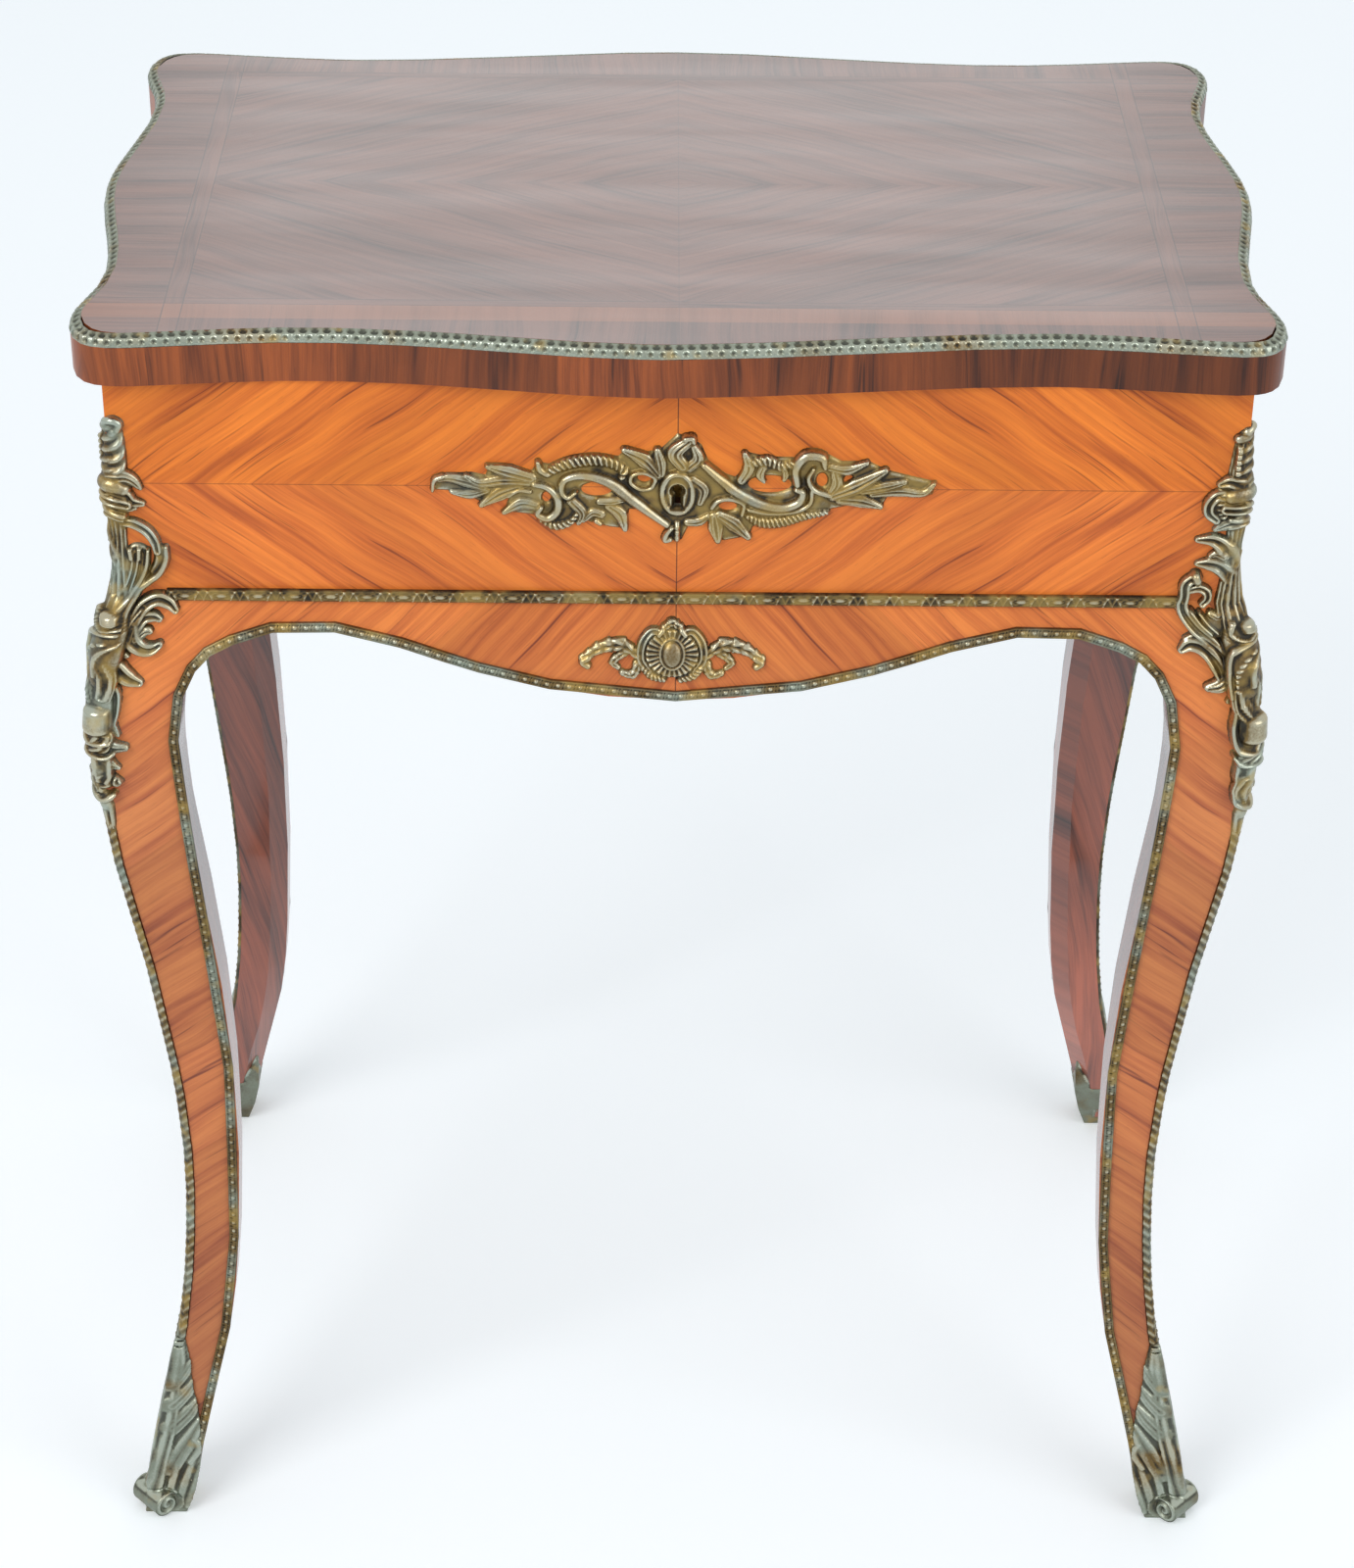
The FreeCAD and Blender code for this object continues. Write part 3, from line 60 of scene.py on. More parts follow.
# %% [markdown]
# The camera stands in front of the table and a little above it, as a person does.
#
# Its place was worked out from the corners of the lid, the box and the feet in the
# reference picture. A long lens keeps the legs nearly upright. The three angles are turned
# into the camera's own axes here, which is less error prone than typing Euler angles.
# %% Camera
YAW = -0.0078
PITCH = -0.5721
ROLL = 0.0118
CAMERA_PLACE = Vector((-0.0108, -1.7416, 1.4971))
LENS = 83.96

look = Vector((
    -math.sin(YAW) * math.cos(PITCH),
    math.cos(YAW) * math.cos(PITCH),
    math.sin(PITCH),
))
level_right = Vector((math.cos(YAW), math.sin(YAW), 0.0))
level_up = level_right.cross(look)
camera_right = level_right * math.cos(ROLL) + level_up * math.sin(ROLL)
camera_up = level_up * math.cos(ROLL) - level_right * math.sin(ROLL)

scene = bpy.context.scene
camera_data = bpy.data.cameras.new("reference_camera")
camera_data.lens = LENS
camera_data.sensor_width = 36.0
camera = bpy.data.objects.new("reference_camera", camera_data)
turn = Matrix((camera_right, camera_up, -look)).transposed()
camera.matrix_world = Matrix.Translation(CAMERA_PLACE) @ turn.to_4x4()
scene.collection.objects.link(camera)
scene.camera = camera
scene.view_settings.view_transform = "Standard"
print("camera looks along", [round(value, 3) for value in look])

# %% [markdown]
# Short names for the few node operations that every material needs.
#
# A material is a small program drawn as boxes and wires. These helpers place a box, set
# its sockets and return the wire, so each finish below reads like a formula.
# %% Node helpers
NUMBER = "NodeSocketFloat"
COLOUR = "NodeSocketColor"
VECTOR = "NodeSocketVector"
TO_MM = 1000.0


class Wire:
    """The end of a wire. A sum, product or comparison of wires places the box it needs."""

    def __init__(self, tree, socket):
        self.tree = tree
        self.socket = socket


def plug(socket, value):
    """Wire a socket, or set its plain value; nothing leaves it as it is."""
    if isinstance(value, Wire):
        value.tree.links.new(value.socket, socket)
    elif isinstance(value, tuple) and len(value) == 3 and socket.type == "RGBA":
        socket.default_value = (*value, 1.0)
    elif value is not None:
        socket.default_value = value


def box(kind, *values, tree=None, result=0, setup=None, **named):
    """Place a box, fill its sockets in order or by name, and return one of its wires."""
    filled = [*enumerate(values), *((label.replace("_", " "), value) for label, value in named.items())]
    if tree is None:
        tree = next(value.tree for label, value in filled if isinstance(value, Wire))
    step = tree.nodes.new(kind)
    for label, value in (setup or {}).items():
        setattr(step, label, value)
    for label, value in filled:
        plug(step.inputs[label], value)
    return Wire(tree, step.outputs[result])


def maths(operation, *values):
    """One step of arithmetic."""
    return box("ShaderNodeMath", *values, setup={"operation": operation})


def in_formulas(operation, swapped=False):
    """The method that lets a wire stand in a formula."""
    def method(self, *others):
        values = (self, *others)
        return maths(operation, *(values[::-1] if swapped else values))
    return method


for label, operation in (("add", "ADD"), ("sub", "SUBTRACT"), ("mul", "MULTIPLY"), ("rmul", "MULTIPLY"),
                         ("truediv", "DIVIDE"), ("gt", "GREATER_THAN"), ("lt", "LESS_THAN"),
                         ("abs", "ABSOLUTE"), ("floor", "FLOOR"), ("round", "ROUND")):
    setattr(Wire, "__" + label + "__", in_formulas(operation))
Wire.__rsub__ = in_formulas("SUBTRACT", swapped=True)
Wire.__rpow__ = in_formulas("POWER", swapped=True)


def most(first, *others):
    """The greatest of several numbers."""
    for other in others:
        first = maths("MAXIMUM", first, other)
    return first


def blend(share, first, second, kind="MIX"):
    """Mix two colours by a share."""
    return box("ShaderNodeMix", share, *[None] * 5, first, second, result=2,
               setup={"data_type": "RGBA", "blend_type": kind})


def pick(share, first, second):
    """Mix two numbers by a share."""
    return box("ShaderNodeMix", share, None, first, second, setup={"data_type": "FLOAT"})


def span(value, low, high, new_low=0.0, new_high=1.0):
    """Stretch a range of values to a new range, held at both ends."""
    return box("ShaderNodeMapRange", value, low, high, new_low, new_high)


def joined(x, y, z):
    """Three numbers as one vector."""
    return box("ShaderNodeCombineXYZ", x, y, z)


def parted(vector):
    """The three numbers of a vector."""
    return [Wire(vector.tree, part) for part in box("ShaderNodeSeparateXYZ", vector).socket.node.outputs]


def noise(vector, scale, detail=2.0, roughness=0.5):
    """Soft random values from 0 to 1."""
    return box("ShaderNodeTexNoise", Vector=vector, Scale=scale, Detail=detail, Roughness=roughness)


def shaded(colour, shade):
    """A colour made lighter or darker by a number."""
    return blend(1.0, colour, joined(shade, shade, shade), "MULTIPLY")

# %% [markdown]
# Groups, materials and geometry trees: the same short tools for all three.
#
# A group is built once and used by several finishes, as a workshop keeps one recipe. A
# geometry tree is a recipe for shapes; given to an object, it works on that object's mesh.
# %% Groups and materials
def new_group(name, inputs):
    """A group for materials; returns its tree and its inputs. The kind follows from the value."""
    tree = bpy.data.node_groups.new(name, "ShaderNodeTree")
    for label, value in inputs.items():
        kind = VECTOR if value is None else COLOUR if isinstance(value, tuple) else NUMBER
        socket = tree.interface.new_socket(name=label, in_out="INPUT", socket_type=kind)
        if value is not None:
            socket.default_value = (*value, 1.0) if kind == COLOUR else value
    entry = tree.nodes.new("NodeGroupInput")
    return tree, {socket.name: Wire(tree, socket) for socket in entry.outputs}


def send(tree, **values):
    """Give a group its outputs."""
    for label in values:
        kind = COLOUR if label == "Color" else NUMBER
        tree.interface.new_socket(name=label, in_out="OUTPUT", socket_type=kind)
    leave = tree.nodes.new("NodeGroupOutput")
    for label, value in values.items():
        plug(leave.inputs[label], value)
    print(tree.name, "nodes:", len(tree.nodes))


def use_group(group, **values):
    """Place a group in a material and fill its sockets; returns its outputs by name."""
    tree = next(value.tree for value in values.values() if isinstance(value, Wire))
    step = tree.nodes.new("ShaderNodeGroup")
    step.node_tree = group
    for label, value in values.items():
        plug(step.inputs[label], value)
    return {socket.name: Wire(tree, socket) for socket in step.outputs}


def new_material(name):
    """A material; returns it, its shader, object coordinates and the way a face looks."""
    material = bpy.data.materials.new(name)
    material.use_nodes = True
    tree = material.node_tree
    seen = tree.nodes.new("ShaderNodeTexCoord").outputs
    return material, tree.nodes["Principled BSDF"], Wire(tree, seen["Object"]), Wire(tree, seen["Normal"])


def paint(shader, **values):
    """Fill the shader's sockets by name."""
    for label, value in values.items():
        plug(shader.inputs[label.replace("_", " ")], value)


def set_bump(shader, height, depth, strength=1.0):
    """Let a height pattern tilt the surface without moving it."""
    paint(shader, Normal=box("ShaderNodeBump", Height=height, Distance=depth, Strength=strength))


def relief_of(tree):
    """The number that each vertex of a casting carries."""
    return box("ShaderNodeAttribute", tree=tree, result="Fac", setup={"attribute_name": "relief"})


def geometry_tree(name, **inputs):
    """An empty geometry tree; returns it and its inputs."""
    tree = bpy.data.node_groups.new(name, "GeometryNodeTree")
    for label, kind in {"Geometry": "Geometry", **inputs}.items():
        tree.interface.new_socket(name=label, in_out="INPUT", socket_type="NodeSocket" + kind)
    tree.interface.new_socket(name="Geometry", in_out="OUTPUT", socket_type="NodeSocketGeometry")
    entry = tree.nodes.new("NodeGroupInput")
    return tree, {socket.name: Wire(tree, socket) for socket in entry.outputs}


def close_tree(tree, shape):
    """Let a shape leave a geometry tree."""
    plug(tree.nodes.new("NodeGroupOutput").inputs[0], shape)
    return tree


def give_tree(piece, tree, **values):
    """Let a geometry tree work on an object, with its inputs set by name."""
    modifier = piece.modifiers.new(tree.name, "NODES")
    modifier.node_group = tree
    for item in tree.interface.items_tree:
        if item.in_out == "INPUT" and item.name in values:
            modifier[item.identifier] = values[item.name]

# %% [markdown]
# Sliced veneer: the grain that every wooden face shares.
#
# Veneer is cut along the log, so its figure is long and thin. The group takes two lengths
# in millimetres, one across the grain and one along it, and squeezes noise between them:
# broad dark streaks, fine fibre, short open pores and a slow change of tone.
# %% Veneer group
veneer, given = new_group("sliced_veneer", {
    "Across": 0.0, "Along": 0.0, "Sheet": 0.0, "Streaks": 0.5, "Leaf": 52.0, "Contrast": 0.12,
    "Pale": (0.7, 0.3, 0.1), "Deep": (0.4, 0.15, 0.05), "Dark": (0.1, 0.03, 0.01),
})
across, along, sheet = given["Across"], given["Along"], given["Sheet"]


def figure(cut, per_across, per_along, detail=2.0, roughness=0.5, leaf=sheet):
    """Noise squeezed along the grain; the two scales are per millimetre."""
    return noise(joined(cut * per_across, along * per_along, leaf), 1.0, detail, roughness)


bent = figure(across, 0.012, 0.009) * 14.0 + across
broad = figure(bent, 0.055, 0.0042, 3.0, 0.6)
narrow = figure(bent, 0.27, 0.010, 2.0, 0.6)
fibre = figure(bent, 1.4, 0.028, 2.0, 0.6)
pore = span(figure(bent, 2.4, 0.14, 1.0), 0.30, 0.22)
fleck = span(figure(bent, 0.62, 0.016, 2.0, 0.45, sheet + 3.7), 0.625, 0.70) * span(broad, 0.44, 0.58)
tone = figure(across, 0.016, 0.008)
leaf_number = math.floor(bent / given["Leaf"])
chance = box("ShaderNodeTexWhiteNoise", Vector=joined(leaf_number, sheet, 0.0),
             setup={"noise_dimensions": "2D"})
wood = blend(span(broad * 0.56 + (fibre * 0.22 + narrow * 0.42), 0.50, 0.74), given["Pale"], given["Deep"])
streak = span(broad, 0.53, 0.72) * span(narrow, 0.42, 0.62) * given["Streaks"]
for share in (streak, fleck * 0.66, pore * 0.30):
    wood = blend(share, wood, given["Dark"])
swing = (chance - 0.5) * 2.0 + (tone - 0.5) * 3.0
send(veneer, Color=shaded(wood, swing * given["Contrast"] + 1.0), Height=pore * -0.8 + fibre)

# %% [markdown]
# How the leaves are laid: lozenges on the box, chevrons on the aprons and legs.
#
# The cabinetmaker folds open four neighbouring leaves like a book, so the grain mirrors
# about the joints. Taking the distance from the joint in place of the coordinate does the
# same: one slanting pattern is mirrored left and right, and above and below on the box.
# The group also tells outer faces from inner ones, which are plain and dark.
# %% Laying group and box veneer
# Levels in mm of the line between box and aprons, and of the middle of the box
SEAM_LEVEL = 596.0
BOX_MIDDLE = 657.0
BOX_SLANT = math.radians(37)

laying, given = new_group("laid_in_quarters", {"Place": None, "Facing": None})
place_x, place_y, place_z = parted(given["Place"])
facing_x, facing_y = parted(given["Facing"])[:2]
level = place_z * TO_MM
on_side = abs(facing_x) > abs(facing_y)
width = pick(on_side, abs(place_x * TO_MM), abs(place_y * TO_MM))
rise = level - BOX_MIDDLE
on_box = level > SEAM_LEVEL
mirrored_rise = pick(on_box, rise, abs(rise))
fan = 2.718 ** (width * -0.012) * -46.0 * (1.0 - on_box)
joint = most(width < 0.28, (abs(rise) < 0.22) * 0.6)
inward = most(maths("SIGN", place_x) * facing_x, maths("SIGN", place_y) * facing_y)
send(laying, Across=width * math.sin(BOX_SLANT) + (mirrored_rise * math.cos(BOX_SLANT) + fan),
     Along=width * math.cos(BOX_SLANT) + mirrored_rise * -math.sin(BOX_SLANT),
     Sheet=on_side * 7.3 + on_box * 3.1, Joint=joint, Inner=inward < 0.66)


def tulipwood():
    """Outer veneer of the box, the aprons and the legs, with painted sheen below the box's middle, and plain
    dark inner faces with painted shade towards their top.
    """
    material, shader, place, facing = new_material("tulipwood_veneer")
    laid = use_group(laying, Place=place, Facing=facing)
    bright = use_group(veneer, Across=laid["Across"], Along=laid["Along"], Sheet=laid["Sheet"],
                       Streaks=0.42, Leaf=58.0, Contrast=0.17, Pale=(0.82, 0.225, 0.028),
                       Deep=(0.56, 0.120, 0.018), Dark=(0.110, 0.020, 0.009))
    x, y, z = parted(place)
    level = z * TO_MM
    dull = use_group(veneer, Across=(z * 0.30 + (x + y)) * TO_MM, Along=level, Sheet=11.0, Streaks=1.0,
                     Leaf=400.0, Contrast=0.3, Pale=(0.25, 0.062, 0.031), Deep=(0.085, 0.022, 0.014),
                     Dark=(0.008, 0.005, 0.004))
    # Painted sheen: below the middle of the box the veneer is tinted greyer, and the aprons more so, standing
    # for the pale studio reflected in the polish. The feet are made darker and cooler.
    lower_half_sheen = span(level, 654.0, 660.0, 0.42, 0.0)
    below_box_sheen = span(level, 480.0, 600.0, 1.0, 0.3) * (level < SEAM_LEVEL)
    foot = span(level, 60.0, 260.0, 1.0, 0.0)
    colour = bright["Color"]
    for share, tint in (
        (lower_half_sheen, (1.0, 1.02, 1.9)),
        (below_box_sheen, (0.76, 0.95, 1.85)),
        (foot, (0.82, 0.88, 1.10)),
    ):
        colour = blend(share, colour, tint, "MULTIPLY")
    colour = blend(laid["Joint"] * 0.8, colour, (0.06, 0.02, 0.012))
    # Painted shade: the plain inner faces darken towards the top, under the table, and lighten towards the
    # floor.
    inside = shaded(dull["Color"], span(level, 90.0, 460.0, 1.7, 0.6))
    paint(shader, Base_Color=blend(laid["Inner"], colour, inside), Roughness=0.40, Specular_IOR_Level=0.22,
          Coat_Weight=pick(laid["Inner"], 0.05, 0.80), Coat_Roughness=0.12, Coat_IOR=1.7)
    set_bump(shader, bright["Height"], 0.00008)
    return material


tulipwood_material = tulipwood()
print("tulipwood nodes:", len(tulipwood_material.node_tree.nodes))

# %% [markdown]
# The lid: four slanting leaves inside a narrow band and a crossbanded border.
#
# The border's grain runs towards the edge, which hides the end grain of the ground below
# and takes the curves of the outline. Two hairlines part the border from the middle.
# %% Lid veneer
# Hairlines in mm: half widths of the middle and of the band, then the front and the rear ones
MIDDLE_SIDE, BAND_SIDE = 238.0, 247.0
MIDDLE_FRONT, BAND_FRONT = -137.0, -143.0
MIDDLE_REAR, BAND_REAR = 145.0, 151.0
LID_SLANT = math.radians(31)


def lid_veneer():
    """Dark veneer of the lid, with border, band and hairlines, and upright grain at the edge, which is
    painted lighter on the left and darker on the right as if lit from the left.
    """
    material, shader, place, facing = new_material("dark_veneer")
    x, y, z = [part * TO_MM for part in parted(place)]
    looks_up = parted(facing)[2]
    width = abs(x)
    depth = abs(y - (MIDDLE_FRONT + MIDDLE_REAR) / 2)
    edge = looks_up < 0.6
    past_middle = width > MIDDLE_SIDE
    past_band = width > BAND_SIDE
    in_band = most(past_middle, y < MIDDLE_FRONT, y > MIDDLE_REAR)
    border = most(past_band, y < BAND_FRONT, y > BAND_REAR)
    across = width * math.sin(LID_SLANT) + depth * math.cos(LID_SLANT)
    along = width * math.cos(LID_SLANT) + depth * -math.sin(LID_SLANT)
    for share, across_there, along_there in (
        (in_band, pick(past_middle, y, x), pick(past_middle, x, y)),
        (border, pick(past_band, x, y), pick(past_band, y, x)),
        (edge, x + y, z),
        (looks_up < -0.6, y, x),
    ):
        across = pick(share, across, across_there)
        along = pick(share, along, along_there)
    grain = {"Across": across, "Along": along, "Sheet": border * 5.0 + edge * 9.0}
    top = use_group(veneer, **grain, Streaks=0.4, Leaf=64.0, Contrast=0.09, Pale=(0.190, 0.080, 0.054),
                    Deep=(0.080, 0.034, 0.026), Dark=(0.014, 0.008, 0.007))
    side = use_group(veneer, **grain, Streaks=0.9, Leaf=47.0, Contrast=0.34, Pale=(0.30, 0.072, 0.016),
                     Deep=(0.105, 0.024, 0.008), Dark=(0.014, 0.006, 0.005))
    warm_strip = (y < BAND_FRONT) * (y > BAND_FRONT - 16.0)
    colour = blend(warm_strip * 0.35, top["Color"], (0.46, 0.155, 0.06))
    hairlines = most(*[abs(value - at) < 0.32 for value, at in (
        (width, MIDDLE_SIDE), (width, BAND_SIDE), (y, MIDDLE_FRONT), (y, BAND_FRONT),
        (y, MIDDLE_REAR), (y, BAND_REAR))])
    joint = most(width < 0.25, depth < 0.2)
    line = most(hairlines, joint * 0.5) * (1.0 - edge)
    colour = blend(line * 0.7, colour, (0.03, 0.016, 0.013))
    # Painted light: the edge is lighter on the left, towards the key lamp, and darker on the right.
    side_colour_with_painted_light = shaded(side["Color"], span(x, -280.0, 280.0, 1.30, 0.58))
    wave = span(noise(joined(x * 0.003, y * 0.030, 0.0), 1.0), 0.36, 0.62, 0.74, 1.0)
    polish = wave * span(width, 205.0, 285.0, 1.0, 0.62) * (edge * -0.95 + 1.0)
    paint(shader, Base_Color=blend(edge, colour, side_colour_with_painted_light), Roughness=0.36, Specular_IOR_Level=0.3,
          Coat_Weight=polish, Coat_Roughness=0.13, Coat_IOR=1.75)
    set_bump(shader, top["Height"], 0.00008)
    return material


lid_material = lid_veneer()
print("lid veneer nodes:", len(lid_material.node_tree.nodes))

# %% [markdown]
# Old gilding on cast brass.
#
# The raised parts are rubbed by hands and cloths and stay golden, and their pale colour is also a
# painted highlight. The hollows keep dust and the green-grey bloom of old brass, and their near-black
# colour is also painted shade. Each cast piece carries a number per vertex, how far it stands out
# above its neighbourhood, and the material reads it to decide between the two.
# %% Gilding
gilding, given = new_group("worn_gilding", {"Place": None, "Relief": 0.5, "Bloom": 0.6})
place = given["Place"]
grit = noise(place, 900.0, 2.0, 0.6)
rubbed_and_lit = (noise(place, 60.0, 3.0, 0.6) - 0.5) * 0.7 + given["Relief"]
rubbed_and_lit = (grit - 0.5) * 0.4 + rubbed_and_lit
low = span(rubbed_and_lit, 0.05, 0.38)
high = span(rubbed_and_lit, 0.50, 0.90)
# Dust and painted shade darken the hollows; the pale colour of the raised parts is rubbed gilding and a
# painted highlight.
metal = blend(low, (0.024, 0.019, 0.011), (0.165, 0.110, 0.044))
metal = blend(high, metal, (0.44, 0.405, 0.290))
bloom_from = given["Bloom"] * -0.36 + 0.68
bloom = span(noise(place, 38.0), bloom_from, bloom_from + 0.17)
metal = blend(bloom * pick(low, 0.25, 0.85), metal, blend(high, (0.235, 0.275, 0.225), (0.37, 0.42, 0.36)))
gold_from = given["Bloom"] * 0.20 + 0.40
gold = span(noise(place, 74.0), gold_from, gold_from + 0.12)
metal = blend(gold * 0.5, metal, (0.42, 0.29, 0.085))
send(gilding, Color=metal, Roughness=pick(high, 0.42, 0.20), Metallic=pick(low, 0.60, 0.92), Height=grit)


def gilt(name, relief=None, bloom=0.6):
    """Worn gilding with painted highlights and shade; relief is a plain number or nothing, for the vertices'
    own number.
    """
    material, shader, place, facing = new_material(name)
    if relief is None:
        relief = relief_of(place.tree)
    finish = use_group(gilding, Place=place, Relief=relief, Bloom=bloom)
    paint(shader, Base_Color=finish["Color"], Roughness=finish["Roughness"], Metallic=finish["Metallic"])
    set_bump(shader, finish["Height"], 0.00012, 0.6)
    return material


gilt_cast = gilt("gilt_brass_cast")
gilt_rubbed = gilt("gilt_brass_rubbed", bloom=0.22)
gilt_dusty = gilt("gilt_brass_dusty", bloom=1.0)
gilt_plain = gilt("gilt_brass_plain", 0.30)

# %% [markdown]
# The plainer finishes: lining wood, bare brass and steel, and the mirror's glass.
# %% Other finishes
def lining():
    """Straight-grained lining wood of the well and the underside."""
    material, shader, place, facing = new_material("lining_wood")
    x, y, z = parted(place)
    grain = use_group(veneer, Across=(y + z) * TO_MM, Along=x * TO_MM, Sheet=2.0, Streaks=0.3,
                      Pale=(0.40, 0.23, 0.12), Deep=(0.27, 0.145, 0.07), Dark=(0.10, 0.05, 0.025))
    paint(shader, Base_Color=grain["Color"], Roughness=0.6)
    set_bump(shader, grain["Height"], 0.00010)
    return material


def plain_metal(name, colour, roughness, slotted=False):
    """Turned or filed metal with fine wear; slotted paints shade into the screw's slot by the vertices' own
    number.
    """
    material, shader, place, facing = new_material(name)
    wear = noise(place, 300.0, 3.0, 0.6)
    shade = blend(span(wear, 0.35, 0.7), colour, tuple(value * 0.55 for value in colour))
    if slotted:
        # Painted shade: where the number is 0, in the screw's slot, the metal is made near black.
        shade = blend(relief_of(place.tree), (0.012, 0.010, 0.008), shade)
    rough = span(wear, 0.3, 0.7, roughness, roughness + 0.2)
    paint(shader, Base_Color=shade, Roughness=rough, Metallic=1.0)
    return material


def mirror_glass():
    """Silvered glass with a faint age bloom."""
    material, shader, place, facing = new_material("mirror_glass")
    haze = span(noise(place, 25.0, 3.0, 0.6), 0.5, 0.8)
    silver = blend(haze, (0.86, 0.88, 0.86), (0.70, 0.71, 0.66))
    paint(shader, Base_Color=silver, Metallic=1.0, Roughness=0.04)
    return material


finishes = {
    "tulipwood_veneer": tulipwood_material,
    "dark_veneer": lid_material,
    "gilt_brass": gilt_plain,
    "lining_wood": lining(),
    "plain_brass": plain_metal("plain_brass", (0.62, 0.44, 0.17), 0.30),
    "steel": plain_metal("steel", (0.42, 0.40, 0.38), 0.35),
    "mirror_glass": mirror_glass(),
}
print("finishes:", sorted(finishes))

# %% [markdown]
# Each solid takes the finish that its record names.
#
# The solids arrive as flat facets. A small live modifier welds them for display and lets
# gentle bends shade smoothly, while edges sharper than the limit stay crisp.
# %% Dressing the solids
SHARPEST_BEND = math.radians(32)
WELD_REACH = 0.00001


def smoothing_tree():
    """Weld and shade smooth, keeping sharp edges."""
    tree, given = geometry_tree("smooth_gentle_bends")
    weld = box("GeometryNodeMergeByDistance", Geometry=given["Geometry"], Distance=WELD_REACH)
    angle = box("GeometryNodeInputMeshEdgeAngle", tree=tree, result="Unsigned Angle")
    sharp = box("FunctionNodeCompare", A=angle, B=SHARPEST_BEND,
                setup={"data_type": "FLOAT", "operation": "GREATER_THAN"})
    faces = box("GeometryNodeSetShadeSmooth", Geometry=weld, setup={"domain": "FACE"})
    edges = box("GeometryNodeSetShadeSmooth", Geometry=faces, Selection=sharp, Shade_Smooth=False,
                setup={"domain": "EDGE"})
    return close_tree(tree, edges)


smoother = smoothing_tree()
slot_of = {row["node"]: row["material_slot"] for row in frame["record"]["subparts"]}
for name, node in nodes.items():
    node.data.materials.clear()
    node.data.materials.append(finishes[slot_of[name]])
    give_tree(node, smoother)
print("dressed solids:", len(nodes))

# %% [markdown]
# Reading the surfaces that the mounts sit on.
#
# The legs swell outwards below the box, so a mount has to follow them. The outermost
# points of the finished leg and apron, level by level, give that swelling exactly, and a
# mount laid on them never floats or sinks.
# %% Where the surfaces stand
BOX_HALF_WIDTH = 275.4
BOX_HALF_DEPTH = 171.2


def swelling(name):
    """Levels and how far the front of a solid stands out from the box face there, in mm."""
    found = {}
    data = nodes[name].data
    for face in data.polygons:
        if face.normal.y < -0.75:
            for corner in face.vertices:
                co = data.vertices[corner].co
                level = round(co.z * TO_MM, 1)
                out = -co.y * TO_MM - BOX_HALF_DEPTH
                found[level] = max(out, found.get(level, out))
    levels = sorted(found)
    return np.array(levels), np.array([found[level] for level in levels])


leg_levels, leg_out = swelling("leg_front_left")
apron_levels, apron_out = swelling("front_apron")
print("leg stands out, mm:",
      [round(float(np.interp(z, leg_levels, leg_out)), 1) for z in (20, 240, 500, 600)])
print("apron stands out, mm:", [round(float(np.interp(z, apron_levels, apron_out)), 1) for z in (550, 580)])

# %% [markdown]
# Modelling a relief the way a wax is built up for casting.
#
# A relief starts as a flat sheet of cells. Each stroke adds a ridge, a fluted band, a leaf
# or a row of beads along a bent line, and the highest stroke wins. Where no stroke
# reaches, the sheet sinks under the wood, so the outline of the cast piece is the line at
# which it leaves the wood.
# %% Relief modelling
# Heights in mm: the untouched sheet, the deepest point of a mesh, and the lowest cell it keeps
GROUND = -1.4
SUNK = -0.7
KEPT_ABOVE = -0.55
# How fast a flank falls away from its stroke
SLOPE = 1.2


def bent_line(points, steps=7):
    """A smooth line through points, as many short pieces."""
    row = np.array(points, float)
    if len(row) < 3:
        return row
    ends = np.vstack([2 * row[0] - row[1], row, 2 * row[-1] - row[-2]])
    out = []
    for before, start, stop, after in zip(ends, ends[1:], ends[2:], ends[3:]):
        for t in np.arange(steps) / steps:
            out.append(0.5 * (2 * start + (stop - before) * t
                              + (2 * before - 5 * start + 4 * stop - after) * t ** 2
                              + (3 * start - before - 3 * stop + after) * t ** 3))
    return np.array(out + [row[-1]])


def dome(ratio):
    """A round hump of height 1 where the ratio is below 1."""
    return np.sqrt(np.clip(1 - ratio ** 2, 0, 1))


def ridge(offset, width):
    """A soft ridge of height 1 at offset 0."""
    return np.exp(-(offset / width) ** 2)


def wave(turns):
    """A cosine that repeats at every whole number."""
    return np.cos(2 * math.pi * turns)


def grid_faces(rows, columns, wanted=None):
    """Four-cornered faces between the points of a grid; wanted picks some of them."""
    index = np.arange(rows * columns).reshape(rows, columns)
    quads = np.stack([index[:-1, :-1], index[:-1, 1:], index[1:, 1:], index[1:, :-1]], axis=-1)
    return quads.reshape(-1, 4) if wanted is None else quads[wanted]


def mesh_from(name, place, quads, wear_and_painted_light):
    """A smooth-shaded mesh from arrays of points and faces; the number for wear and painted light is kept for
    the gilding.
    """
    data = bpy.data.meshes.new(name)
    data.vertices.add(len(place))
    data.vertices.foreach_set("co", np.asarray(place, np.float32).ravel())
    data.loops.add(quads.size)
    data.loops.foreach_set("vertex_index", quads.astype(np.int32).ravel())
    data.polygons.add(len(quads))
    data.polygons.foreach_set("loop_start", np.arange(0, quads.size, 4, dtype=np.int32))
    data.update(calc_edges=True)
    data.shade_smooth()
    note = data.attributes.new("relief", "FLOAT", "POINT")
    note.data.foreach_set("value", np.asarray(wear_and_painted_light, np.float32))
    return data


def shown(data, material, body, stands_for=None):
    """Put a mesh in the scene on its body, in place of the solid it stands for."""
    data.materials.clear()
    data.materials.append(material)
    piece = bpy.data.objects.new(data.name, data)
    scene.collection.objects.link(piece)
    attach(piece, body)
    if stands_for:
        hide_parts(stands_for)
    return piece

